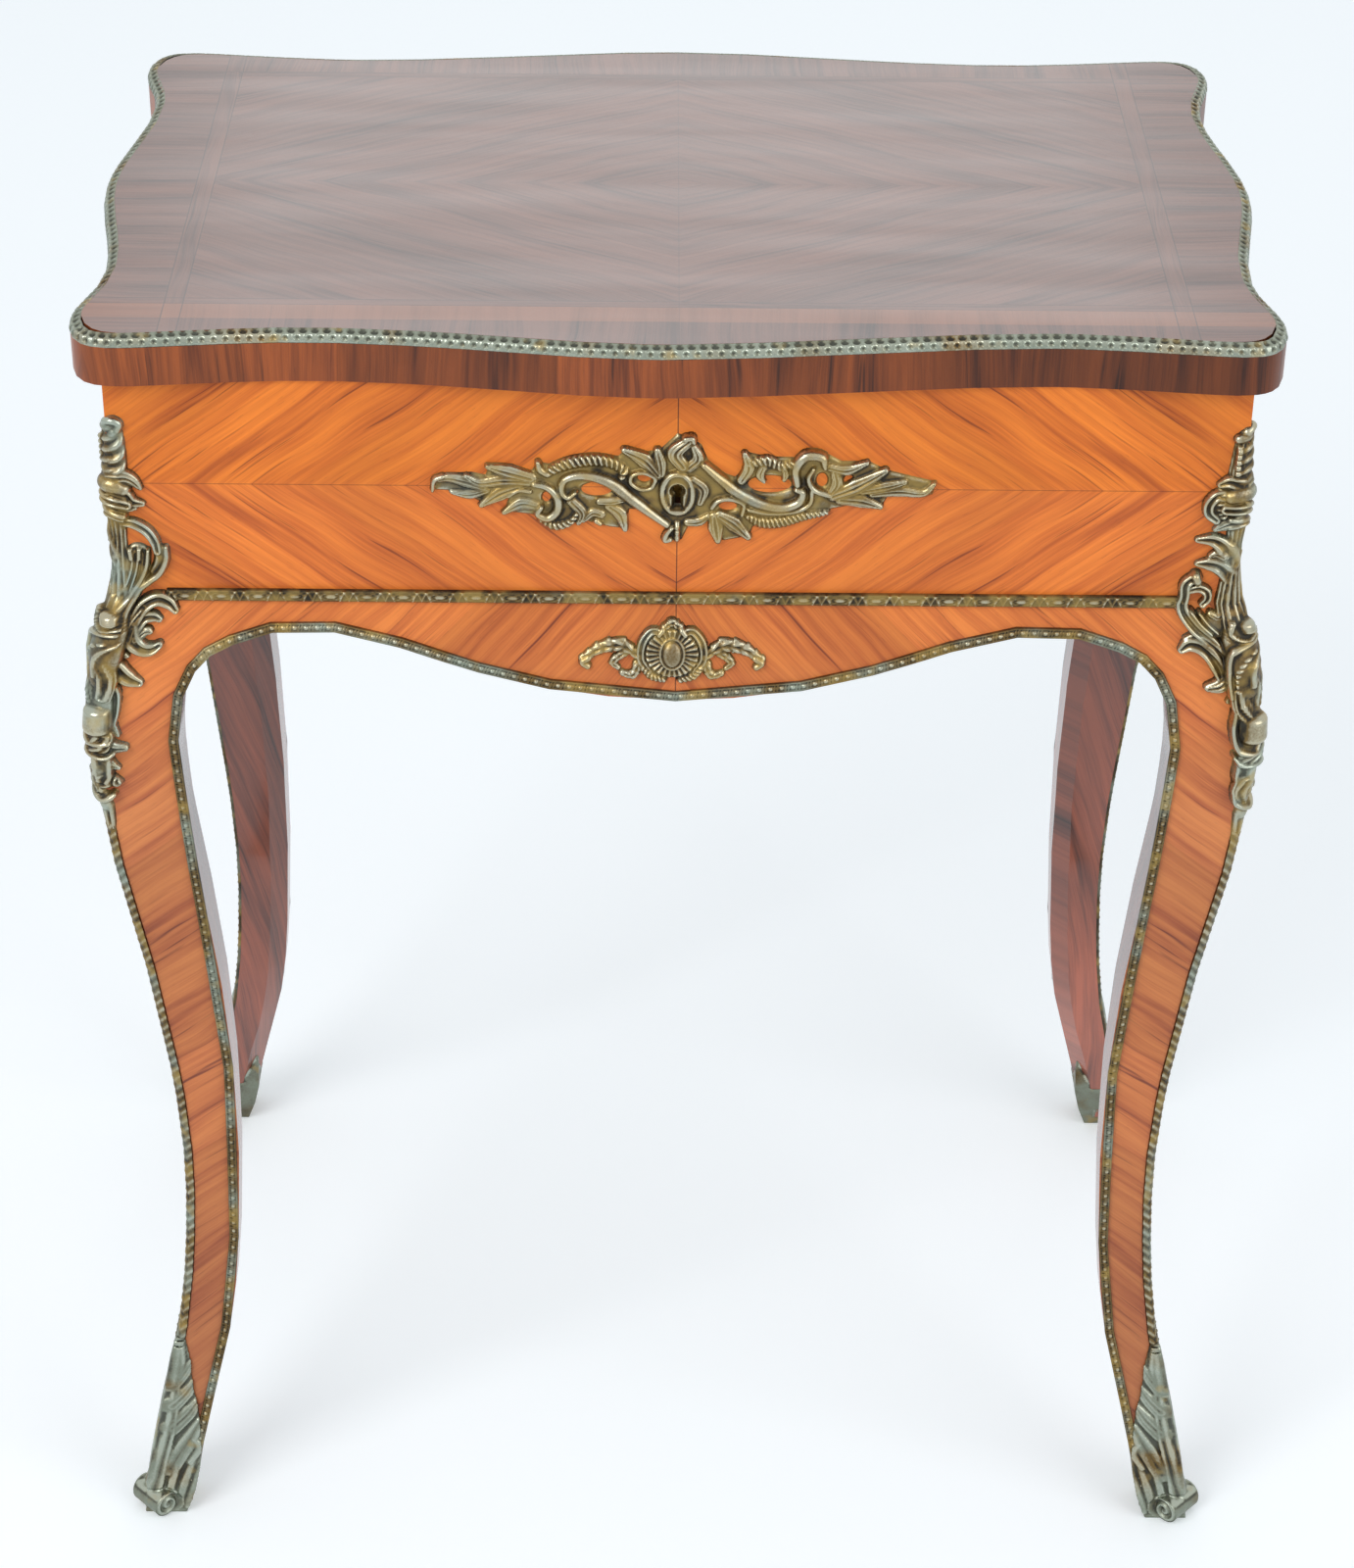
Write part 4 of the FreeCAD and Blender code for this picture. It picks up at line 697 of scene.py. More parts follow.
# %% [markdown]
# The sheet of wax itself.
#
# For each stroke the sheet works out, cell by cell, how far it lies from the stroke's line
# in radii, on which side, and how far along. The form of the stroke turns that into a
# height: round, grooved, leafy, fluted, beaded or twisted like a rope.
# %% The sheet of wax
def stroke_height(form, u, side, turns, height, dome_here):
    """Height of a stroke at u radii from its line, by the form of its section."""
    if form == "round":
        return height * dome_here
    if form == "channel":
        return height * np.sqrt(dome_here) * (1 - 0.46 * ridge(side, 0.40))
    if form == "lobe":
        crease = ridge(side, 0.17) + 0.5 * ridge(np.abs(side) - 0.52, 0.13)
        return height * dome_here ** 0.7 * (1 - 0.30 * crease)
    if form == "leaf":
        veins = wave(turns - np.abs(side) * 0.9)
        return height * dome_here ** 0.7 * (0.88 + 0.10 * veins - 0.26 * ridge(side, 0.18))
    if form == "rope":
        return height * dome_here * (0.80 + 0.20 * wave(turns + side * 0.45))
    return height * np.clip(1 - u ** 4, 0, 1)


class Relief:
    """A sheet of cells with a height in mm at each corner."""

    def __init__(self, low, high, cell):
        self.s = np.arange(low[0], high[0] + cell, cell)
        self.t = np.arange(low[1], high[1] + cell, cell)
        self.across, self.up = np.meshgrid(self.s, self.t)
        self.field = np.full(self.across.shape, GROUND)

    def stroke(self, points, radii, heights, form="round", count=3.0):
        """Raise one stroke along a bent line; radii and heights may change along it."""
        path = bent_line(points)
        share = np.linspace(0, 1, len(path))
        wide, tall = [np.interp(share, np.linspace(0, 1, np.size(given)), np.atleast_1d(given))
                      for given in (radii, heights)]
        reach = wide.max() - GROUND
        rows = (self.t > path[:, 1].min() - reach) & (self.t < path[:, 1].max() + reach)
        cols = (self.s > path[:, 0].min() - reach) & (self.s < path[:, 0].max() + reach)
        part = np.ix_(rows, cols)
        s, t = self.across[part], self.up[part]
        u = np.full(s.shape, 99.0)
        side, arc, height = np.zeros((3, *s.shape))
        width = np.ones(s.shape)
        gone = 0.0
        for k in range(len(path) - 1):
            step = path[k + 1] - path[k]
            length = max(math.hypot(*step), 1e-6)
            along = np.clip(((s - path[k, 0]) * step[0] + (t - path[k, 1]) * step[1]) / length ** 2, 0, 1)
            off_s = s - path[k, 0] - along * step[0]
            off_t = t - path[k, 1] - along * step[1]
            here = wide[k] + along * (wide[k + 1] - wide[k])
            ratio = np.hypot(off_s, off_t) / here
            near = ratio < u
            u = np.where(near, ratio, u)
            side = np.where(near, np.sign(step[0] * off_t - step[1] * off_s) * ratio, side)
            arc = np.where(near, gone + along * length, arc)
            width = np.where(near, here, width)
            height = np.where(near, tall[k] + along * (tall[k + 1] - tall[k]), height)
            gone += length
        turns = arc / gone * count
        if form == "leaf":
            u = u / (1.0 - 0.26 * np.mod(turns, 1.0) * (arc < gone * 0.97))
        if form == "fluted":
            lift = height * dome(u) * (0.80 + 0.20 * wave(count * side))
        elif form == "beads":
            pitch = gone / max(round(gone / (2 * width.max())), 1)
            lift = height * (0.72 + 0.28 * dome(2 * np.mod(arc, pitch) / pitch - 1)) * dome(u)
        else:
            lift = stroke_height(form, u, side, turns, height, dome(u))
        self.raise_to(np.where(u < 1, lift, -(u - 1) * width * SLOPE), part)

    def strokes(self, rows, sign=1, middle=(0.0, 0.0)):
        """Raise a list of strokes measured from a middle; sign -1 mirrors them."""
        for form, points, radii, heights, *count in rows:
            placed = [(middle[0] + sign * across, middle[1] + up) for across, up in points]
            self.stroke(placed, radii, heights, form, *count)

    def raise_to(self, height, part=...):
        """Lift the cells that lie lower than a height."""
        self.field[part] = np.maximum(self.field[part], height)

    def pierce(self, depth):
        """Cut where a depth is positive."""
        self.field = np.minimum(self.field, -depth)

    def ratio(self, centre, half):
        """Distance from a centre as a share of an oval's half sizes."""
        return np.hypot((self.across - centre[0]) / half[0], (self.up - centre[1]) / half[1])

    def inside(self, corners):
        """Distance to an outline, positive inside."""
        row = np.array(corners, float)
        nearest = np.full(self.across.shape, 1e9)
        crossed = np.zeros(self.across.shape, bool)
        for a, b in zip(row, np.roll(row, -1, axis=0)):
            step = b - a
            over, high = self.across - a[0], self.up - a[1]
            along = np.clip((over * step[0] + high * step[1]) / (step @ step), 0, 1)
            nearest = np.minimum(nearest, np.hypot(over - along * step[0], high - along * step[1]))
            rise = step[1] if abs(step[1]) > 1e-9 else 1e-9
            spans = (a[1] > self.up) != (b[1] > self.up)
            crossed ^= spans & (over < step[0] * high / rise)
        return np.where(crossed, nearest, -nearest)

    def wear_and_painted_light(self):
        """How far each cell stands above its neighbourhood, for wear and painted light: what stands above is
        bright, as rubbed metal and as a painted highlight, and what lies below is dark, as dust and as
        painted shade.
        """
        field = np.clip(self.field, SUNK, None)
        soft = field.copy()
        for _ in range(10):
            soft = (soft + np.roll(soft, 1, 0) + np.roll(soft, -1, 0)
                    + np.roll(soft, 1, 1) + np.roll(soft, -1, 1)) / 5
        return np.clip(0.45 + (field - soft) / 0.9, 0, 1)

    def at(self, values, s, t):
        """Values of the cells at any points, blended between neighbours."""
        i = np.clip((s - self.s[0]) / (self.s[1] - self.s[0]), 0, len(self.s) - 1.001)
        j = np.clip((t - self.t[0]) / (self.t[1] - self.t[0]), 0, len(self.t) - 1.001)
        i0, j0 = i.astype(int), j.astype(int)
        fi, fj = i - i0, j - j0
        low, high = [values[row, i0] * (1 - fi) + values[row, i0 + 1] * fi for row in (j0, j0 + 1)]
        return low * (1 - fj) + high * fj

    def mesh(self, name, wrap):
        """The sheet as a mesh, laid on a surface by wrap(s, t, height)."""
        field = np.clip(self.field, SUNK, None)
        keep = self.field > KEPT_ABOVE
        cells = keep[:-1, :-1] | keep[1:, :-1] | keep[:-1, 1:] | keep[1:, 1:]
        used, quads = np.unique(grid_faces(*field.shape, cells), return_inverse=True)
        place = wrap(self.across.ravel()[used], self.up.ravel()[used], field.ravel()[used])
        return mesh_from(name, place * MM, quads.reshape(-1, 4), self.wear_and_painted_light().ravel()[used])

# %% [markdown]
# The corner mounts.
#
# One casting fits all four corners: it is turned a quarter round from each to the next, so
# the two faces of a corner show its two different halves. It covers the joint between leg
# and box. Top to bottom it has a curl, a twisted ribbon with beads, a collar, a fluted
# shaft between open scrolls, a beaded shell and a leafy bud that runs out on the leg.
# %% Corner mounts
# Each stroke: form, points (mm across, mm up), radii, heights, and a count where it is not 3.
# Across is measured from the corner, to the right on the first half, to the left on the second.
FIRST_HALF = (
    ("round", ((4.6, 686.4), (5.6, 689.4), (2.8, 691.4), (-0.4, 690), (-0.8, 686.8)), (2.2, 2.5, 2.1),
     (3, 3.8, 3.2)),
    ("rope", ((3.2, 685), (3.6, 676), (3, 664)), (4, 4.4, 5), (3, 3.8, 4.6)),
    ("lobe", ((1.5, 661), (6.5, 661.5), (10.6, 659.2), (13.8, 655.2)), (4.6, 4, 3, 1.4), (5.6, 4.8, 3.2)),
    ("channel", ((2, 655), (6.6, 652), (9.4, 648), (14.2, 646.6)), (3.4, 3.2, 2.8, 1.5), (6.4, 5, 3.4)),
    ("lobe", ((1, 646.4), (6, 644.4), (10.6, 644.2)), (2.8, 2.5, 1.3), (5, 3.4)),
    ("channel", ((4.2, 636.4), (9.5, 635.6), (15.2, 632), (18.8, 626.2), (19.8, 620.4)),
     (2.4, 2.9, 2.9, 2.7, 2.1), (3.4, 4.4, 4.8, 4.2)),
    ("round", ((24, 622.4), (23.6, 615.6), (20.2, 608.4), (14.6, 603.8), (9.2, 599.4), (5.6, 592.2),
     (4.4, 585), (6.4, 577)), (1.5, 2.1, 2.3, 2.4, 2.6, 2.9, 2.7, 2.2),
     (3.2, 4.2, 4.6, 4.8, 5.4, 6.2, 6.4, 5.4)),
    ("flat", ((21, 621), (20.2, 614), (16.8, 609)), (3.2, 3, 2), (2.6, 2.2)),
    ("fluted", ((10.2, 618), (8.6, 609), (4.6, 598), (0.8, 588)), (6.4, 6.6, 6.2, 4.6),
     (2.6, 3.4, 4.6, 5.6), 2.5),
    ("round", ((6.2, 620.6), (6.6, 616)), 1.7, (3.6, 3.2)),
    ("round", ((10.8, 621.2), (10.4, 616)), 1.7, (3.8, 3.2)),
    ("round", ((15.2, 620.8), (14, 612.5), (10.6, 604.5), (5.6, 597), (2.4, 590), (1, 583.5)),
     (1.3, 1.6, 1.8, 2, 2.2, 1.8), (4, 4.4, 5, 5.8, 6.8, 7.6)),
    ("fluted", ((7, 573), (8, 582), (12, 589)), (5.6, 5.8, 4.8), (5, 5, 4.4), 2),
    ("channel", ((9.2, 582), (12.5, 590.5), (18.5, 594.2), (24.5, 592.4), (29, 588.2)),
     (3.8, 4.2, 3.8, 3.2, 1.8), (5, 5.6, 5.2, 4)),
    ("channel", ((10.2, 577), (13.6, 584), (18.4, 585.2), (22.2, 583.6)), (3.6, 3.4, 2.6, 1.4),
     (4.8, 4.8, 3.6)),
    ("lobe", ((12, 574), (16.5, 577.8), (19, 577.4)), (3.2, 2.6, 1.4), (4.6, 3.6)),
    ("channel", ((8.6, 580), (10.8, 573.4), (16, 569.4), (21, 568.8), (24.4, 571)), (4, 4.6, 3.8, 3.4, 2.2),
     (5.4, 5.6, 5, 4.4)),
    ("lobe", ((1.6, 568), (5.6, 567.4), (10.2, 565)), (3.6, 2.8, 1.2), (8, 4.8, 3.2)),
    ("channel", ((1, 563.5), (6.2, 558.4), (11.4, 553.6), (17.4, 550.8)), (4.8, 5, 4.4, 2.2),
     (8.6, 6.2, 5, 3.4)),
    ("channel", ((1.6, 553), (5.6, 546), (6.2, 537), (4.8, 529)), (3.4, 3.4, 3.2, 2.8), (7.6, 6, 5.2, 4.8)),
    ("lobe", ((4.2, 530), (5.8, 525.6), (8.4, 522.2)), (3.4, 2.8, 1.3), (5.2, 3.6)),
    ("lobe", ((0.8, 519.6), (5.4, 515.8), (11.8, 515)), (4.2, 3.6, 2.2), (7.2, 5.4, 4)),
    ("lobe", ((1.2, 510), (4.8, 505.6), (8.2, 503.2)), (3.6, 2.6, 1.2), (6, 3.6)),
    ("rope", ((0.6, 498), (4.8, 495.2), (8.2, 494.8)), (4.8, 4, 2), (6, 4.2)),
)
SECOND_HALF = (
    ("beads", ((3.6, 682), (3.8, 675), (3.6, 667)), 1.5, 4.8),
    ("round", ((1, 687.4), (4, 686.4)), 2.7, 3.4),
    ("fluted", ((2.4, 686), (3, 676), (3.6, 667)), (3.2, 3.6, 4), (2.6, 3.2, 3.6), 2),
    ("channel", ((2, 662.4), (6.6, 663.6), (10.8, 661.8)), (3.6, 3.3, 2), (5.4, 4.8, 3.2)),
    ("flat", ((6, 651), (10, 650)), (6, 5.6), (3.6, 3)),
    ("rope", ((8.4, 657), (9.4, 651), (8, 645)), (3.6, 3.8, 3.2), 5, 5),
    ("channel", ((6, 656.8), (12, 656.2), (15.6, 651.6), (15.4, 646.4), (11.4, 642.4)),
     (2.4, 3, 3, 2.8, 2.2), (4.6, 5.4, 5, 4.2)),
    ("lobe", ((1.6, 642.4), (6.4, 640), (11.4, 637)), (3.8, 3.4, 1.4), (5.4, 4.4, 3)),
    ("channel", ((1.8, 618), (5.6, 626.6), (11.4, 631.2), (19.4, 631.2)), (4.4, 4.8, 3.6, 1.6),
     (3.8, 5, 4.6, 3)),
    ("channel", ((1.6, 610), (7, 616), (12.4, 618), (18.4, 617.8)), (4.2, 4.4, 3.6, 1.6),
     (3.6, 4.8, 4.4, 3)),
    ("lobe", ((6, 622.3), (9.6, 623.6), (12.8, 622.2)), (3, 2.4, 1.2), (4.6, 3.2)),
    ("channel", ((19.6, 610.6), (23.4, 606.6), (23.4, 599.6), (24.6, 592.4), (20.6, 584.4), (14, 577.4),
     (8.8, 570)), (2.8, 3.1, 2.9, 3.6, 4, 4, 3.6), (5, 5.4, 5, 5.4, 6, 6, 5.4)),
    ("round", ((18.8, 611.6), (17.8, 609.2)), 3, 6.2),
    ("channel", ((20.5, 603.6), (16.4, 604.6), (12.6, 602.4), (12, 598.6), (14.4, 595.4)),
     (2, 2.4, 2.5, 2.3, 1.8), (4.6, 5.2, 4.6)),
    ("flat", ((6, 585), (14, 583)), (7.4, 6.4), (4, 3.8)),
    ("round", ((20.4, 592.4), (17, 586.4), (12.6, 581.6)), 1.3, 6.4),
    ("round", ((16.6, 591.6), (13.2, 586), (9.4, 582)), 1.2, 5.8),
    ("lobe", ((11, 590.5), (7.6, 589), (4.4, 592)), (2.2, 2.4, 1.7), 4.4),
    ("channel", ((29.6, 572.2), (24, 575.6), (17, 573), (12.6, 565), (11, 558.6)),
     (1.8, 3.8, 4.8, 4.8, 3.4), (3.4, 5.2, 6.2, 6.2, 5.2)),
    ("channel", ((26, 577.6), (20, 578.8), (12.6, 573.8), (7, 565), (5.4, 557)), (1.8, 2.9, 3.8, 3.8, 2.8),
     (3.8, 5.2, 6.2, 6.2, 5.6)),
    ("lobe", ((7.6, 558.4), (12.6, 554.4), (18.4, 553)), (3.8, 4, 2.4), (5.6, 5.8, 4.8)),
    ("lobe", ((2, 552.6), (5.6, 548), (9.2, 545.2)), (3.4, 3, 1.4), (6, 4.4, 3)),
    ("lobe", ((1.6, 545), (4.4, 539.6), (6.8, 534.2)), (4, 4, 2.2), (6.8, 5.4, 3.8)),
)
# Along the corner, across is measured round it
ARRIS_STROKES = (
    ("rope", ((0, 687), (-0.2, 676), (-0.4, 664)), (4.8, 5.8, 6.4), (3, 3.8, 4.6), 4),
    ("round", ((-5.2, 655.8), (0.6, 657.2), (5.4, 655)), (4.6, 5.4, 4.2), (6.4, 7.6, 5.8)),
    ("channel", ((-7.6, 649.4), (0, 649), (7, 646.6)), (2.8, 3, 2.6), (7.2, 8, 6)),
    ("round", ((-4.4, 643.4), (0, 642), (4.8, 640.2)), (2.3, 2.5, 2.1), 5.4),
    ("fluted", ((0, 640), (0, 628), (-0.4, 612), (-0.8, 598), (-1.2, 586)), (5.8, 5.4, 5.8, 7.2, 7.6),
     (4.4, 3, 3.4, 5.4, 7.6), 3.5),
    ("round", ((-4.6, 638.8), (0, 640.2), (4.2, 638.2)), 1.7, (4.8, 6, 4.8)),
    ("flat", ((0, 590), (0, 578), (-0.6, 566), (-1, 554)), (7, 9.8, 10, 8.2), (5.8, 8.6, 9, 7.6)),
    ("round", ((0.6, 586.2), (1, 583.4)), 3.1, 11.2),
    ("round", ((-2.8, 588.6), (-3.6, 583), (-0.6, 579), (3.8, 581.4)), 1.1, 10),
    ("round", ((3, 578.4), (-2.6, 576.4), (-6.4, 570.4), (-8, 561), (-7.4, 550)), (1.9, 2.4, 2.4, 2),
     (10, 11.2, 10.8, 9)),
    ("beads", ((1.6, 573.6), (-1.8, 569.6), (-4, 562.4), (-4.2, 552)), 1.5, (10.2, 10.4, 9.6, 8.4)),
    ("round", ((5, 574.4), (1.4, 569.8), (-0.4, 563), (-0.4, 555)), (1.2, 1.7, 1.5), (9.2, 10.2, 9.2)),
    ("lobe", ((0.8, 563), (2.6, 554), (1.8, 544)), (4.2, 4.8, 3.4), (9.4, 9.4, 8)),
    ("lobe", ((-4.6, 553), (-4.2, 545), (-1.8, 537)), (3.6, 4.2, 3), (8.8, 9.6, 8.2)),
    ("flat", ((0, 542), (0, 530), (0, 520)), (6.6, 7.6, 6), (6.6, 7.4, 6.4)),
    ("round", ((-5.6, 542), (-7.4, 533), (-5.8, 523), (-1.2, 518.4), (4, 520)), (2, 2.5, 2.2),
     (7.8, 9.4, 8.6)),
    ("round", ((0.4, 536.4), (0.2, 527)), (4.4, 4.8), 11.2),
    ("lobe", ((2.6, 523), (0.4, 517), (-3.2, 512.6)), (4.4, 4.8, 3.4), (8.4, 9.2, 7.4)),
    ("round", ((-6.4, 516), (-3, 512.2), (2.4, 511.4), (6.4, 513.6)), 1.9, (7.2, 8.8, 8.8, 7)),
    ("fluted", ((0, 513), (-0.4, 504), (0, 495)), (6.4, 7, 5.4), (7.6, 7.4, 5.6), 1.5),
    ("lobe", ((-1.4, 502), (-3.2, 495), (-1.6, 488.4)), (3.8, 4, 2.6), (7.2, 7, 5.4)),
    ("round", ((-5.4, 494.6), (-4, 488.4), (0.6, 484.2), (4.8, 487.8)), 1.8, (5.8, 6.6, 6.6, 5)),
    ("beads", ((0, 486), (0, 477)), (3.4, 2.8), (5, 4.2)),
    ("fluted", ((0, 480), (0.2, 470), (0, 463)), (3.6, 3.2, 2.2), (4, 3.4, 2.2), 1.5),
)

# %% [markdown]
# Laying the mount round the corner.
#
# The sheet is flat and the corner is round, so the middle of the sheet is rolled over a
# quarter round and its sides lie flat on the two faces. All of it moves out with the leg.
# %% Laying the mount
ARRIS_RADIUS = 5.0
ARRIS_HALF = ARRIS_RADIUS * math.pi / 4
CORNERS = (
    ("front_left", -1, -1, 0),
    ("front_right", 1, -1, 1),
    ("rear_right", 1, 1, 2),
    ("rear_left", -1, 1, 3),
)


def corner_wrap(s, t, height):
    """Lay a sheet round a rounded corner that swells with the leg."""
    out = np.interp(t, leg_levels, leg_out)
    turn = np.clip(s / ARRIS_RADIUS, -math.pi / 4, math.pi / 4) + math.pi / 4
    x = -out + ARRIS_RADIUS + np.clip(s - ARRIS_HALF, 0, None) - np.cos(turn) * (ARRIS_RADIUS + height)
    y = -out + ARRIS_RADIUS + np.clip(-s - ARRIS_HALF, 0, None) - np.sin(turn) * (ARRIS_RADIUS + height)
    return np.stack([x, y, t], axis=1)


def turned_to_corner(place, quarter, side_x, side_y):
    """Turn points a number of quarters and move them to a corner of the box, in mm."""
    angle = quarter * math.pi / 2
    cos, sin = round(math.cos(angle)), round(math.sin(angle))
    x = place[:, 0] * cos - place[:, 1] * sin + side_x * BOX_HALF_WIDTH
    y = place[:, 0] * sin + place[:, 1] * cos + side_y * BOX_HALF_DEPTH
    return np.stack([x, y, place[:, 2]], axis=1)


mount_sheet = Relief((-33.0, 462.0), (33.0, 697.0), 0.5)
mount_sheet.strokes(ARRIS_STROKES + FIRST_HALF)
mount_sheet.strokes(SECOND_HALF, -1)
for corner, side_x, side_y, quarter in CORNERS:
    def lay(s, t, height):
        return turned_to_corner(corner_wrap(s, t, height), quarter, side_x, side_y)

    data = mount_sheet.mesh("cast_corner_mount_" + corner, lay)
    shown(data, gilt_cast, "table", "corner_mount_" + corner)
print("corner mount faces:", len(data.polygons))

# %% [markdown]
# The keyhole escutcheon and the apron's cartouche.
#
# Both are thin pierced castings pinned flat on the veneer. The escutcheon winds two long
# scrolls round the keyhole, with leaves at its ends. The cartouche is a small shell round a
# polished oval, with a leaf on each side.
# %% Escutcheon and cartouche
ESCUTCHEON_EDGE = (
    (-121, 655), (-118.8, 661.5), (-111.3, 664.3), (-101.4, 664.8), (-94.8, 663.3), (-93.1, 669.2),
    (-86.5, 668.8), (-73.3, 664.3), (-69.9, 670.6), (-64.1, 669.7), (-56.7, 673.3), (-45.1, 675.2),
    (-30.2, 674.2), (-26.9, 678.8), (-18.6, 676.4), (-10.4, 677.9), (-2.1, 686.6), (4.6, 684.6),
    (9.6, 680.6), (12.9, 672.4), (21.1, 665.2), (26.1, 663.3), (30.2, 667.9), (29.4, 677.5), (41, 674.6),
    (55.9, 674.2), (62.5, 678.2), (70.8, 676.1), (77.4, 672.4), (90.7, 672.4), (99, 667.9), (108.9, 665.2),
    (123.8, 661.5), (122.2, 654.3), (110.6, 653.4), (100.6, 653.4), (97.3, 647), (85.7, 648.8),
    (73.3, 646.1), (59.2, 638.9), (46, 634.7), (35.2, 636.1), (33.6, 630.7), (21.1, 628), (16.2, 632.5),
    (14.5, 639.8), (4.6, 638), (0.4, 628.3), (-8.7, 629.8), (-6.2, 637.9), (-15.3, 644.3), (-25.2, 645.2),
    (-26.9, 634.3), (-35.2, 635.2), (-48.4, 638.9), (-56.7, 636.1), (-63.3, 634.7), (-71.6, 641.6),
    (-86.5, 643.4), (-83.2, 652.5), (-94.8, 647), (-108, 654.3),
)
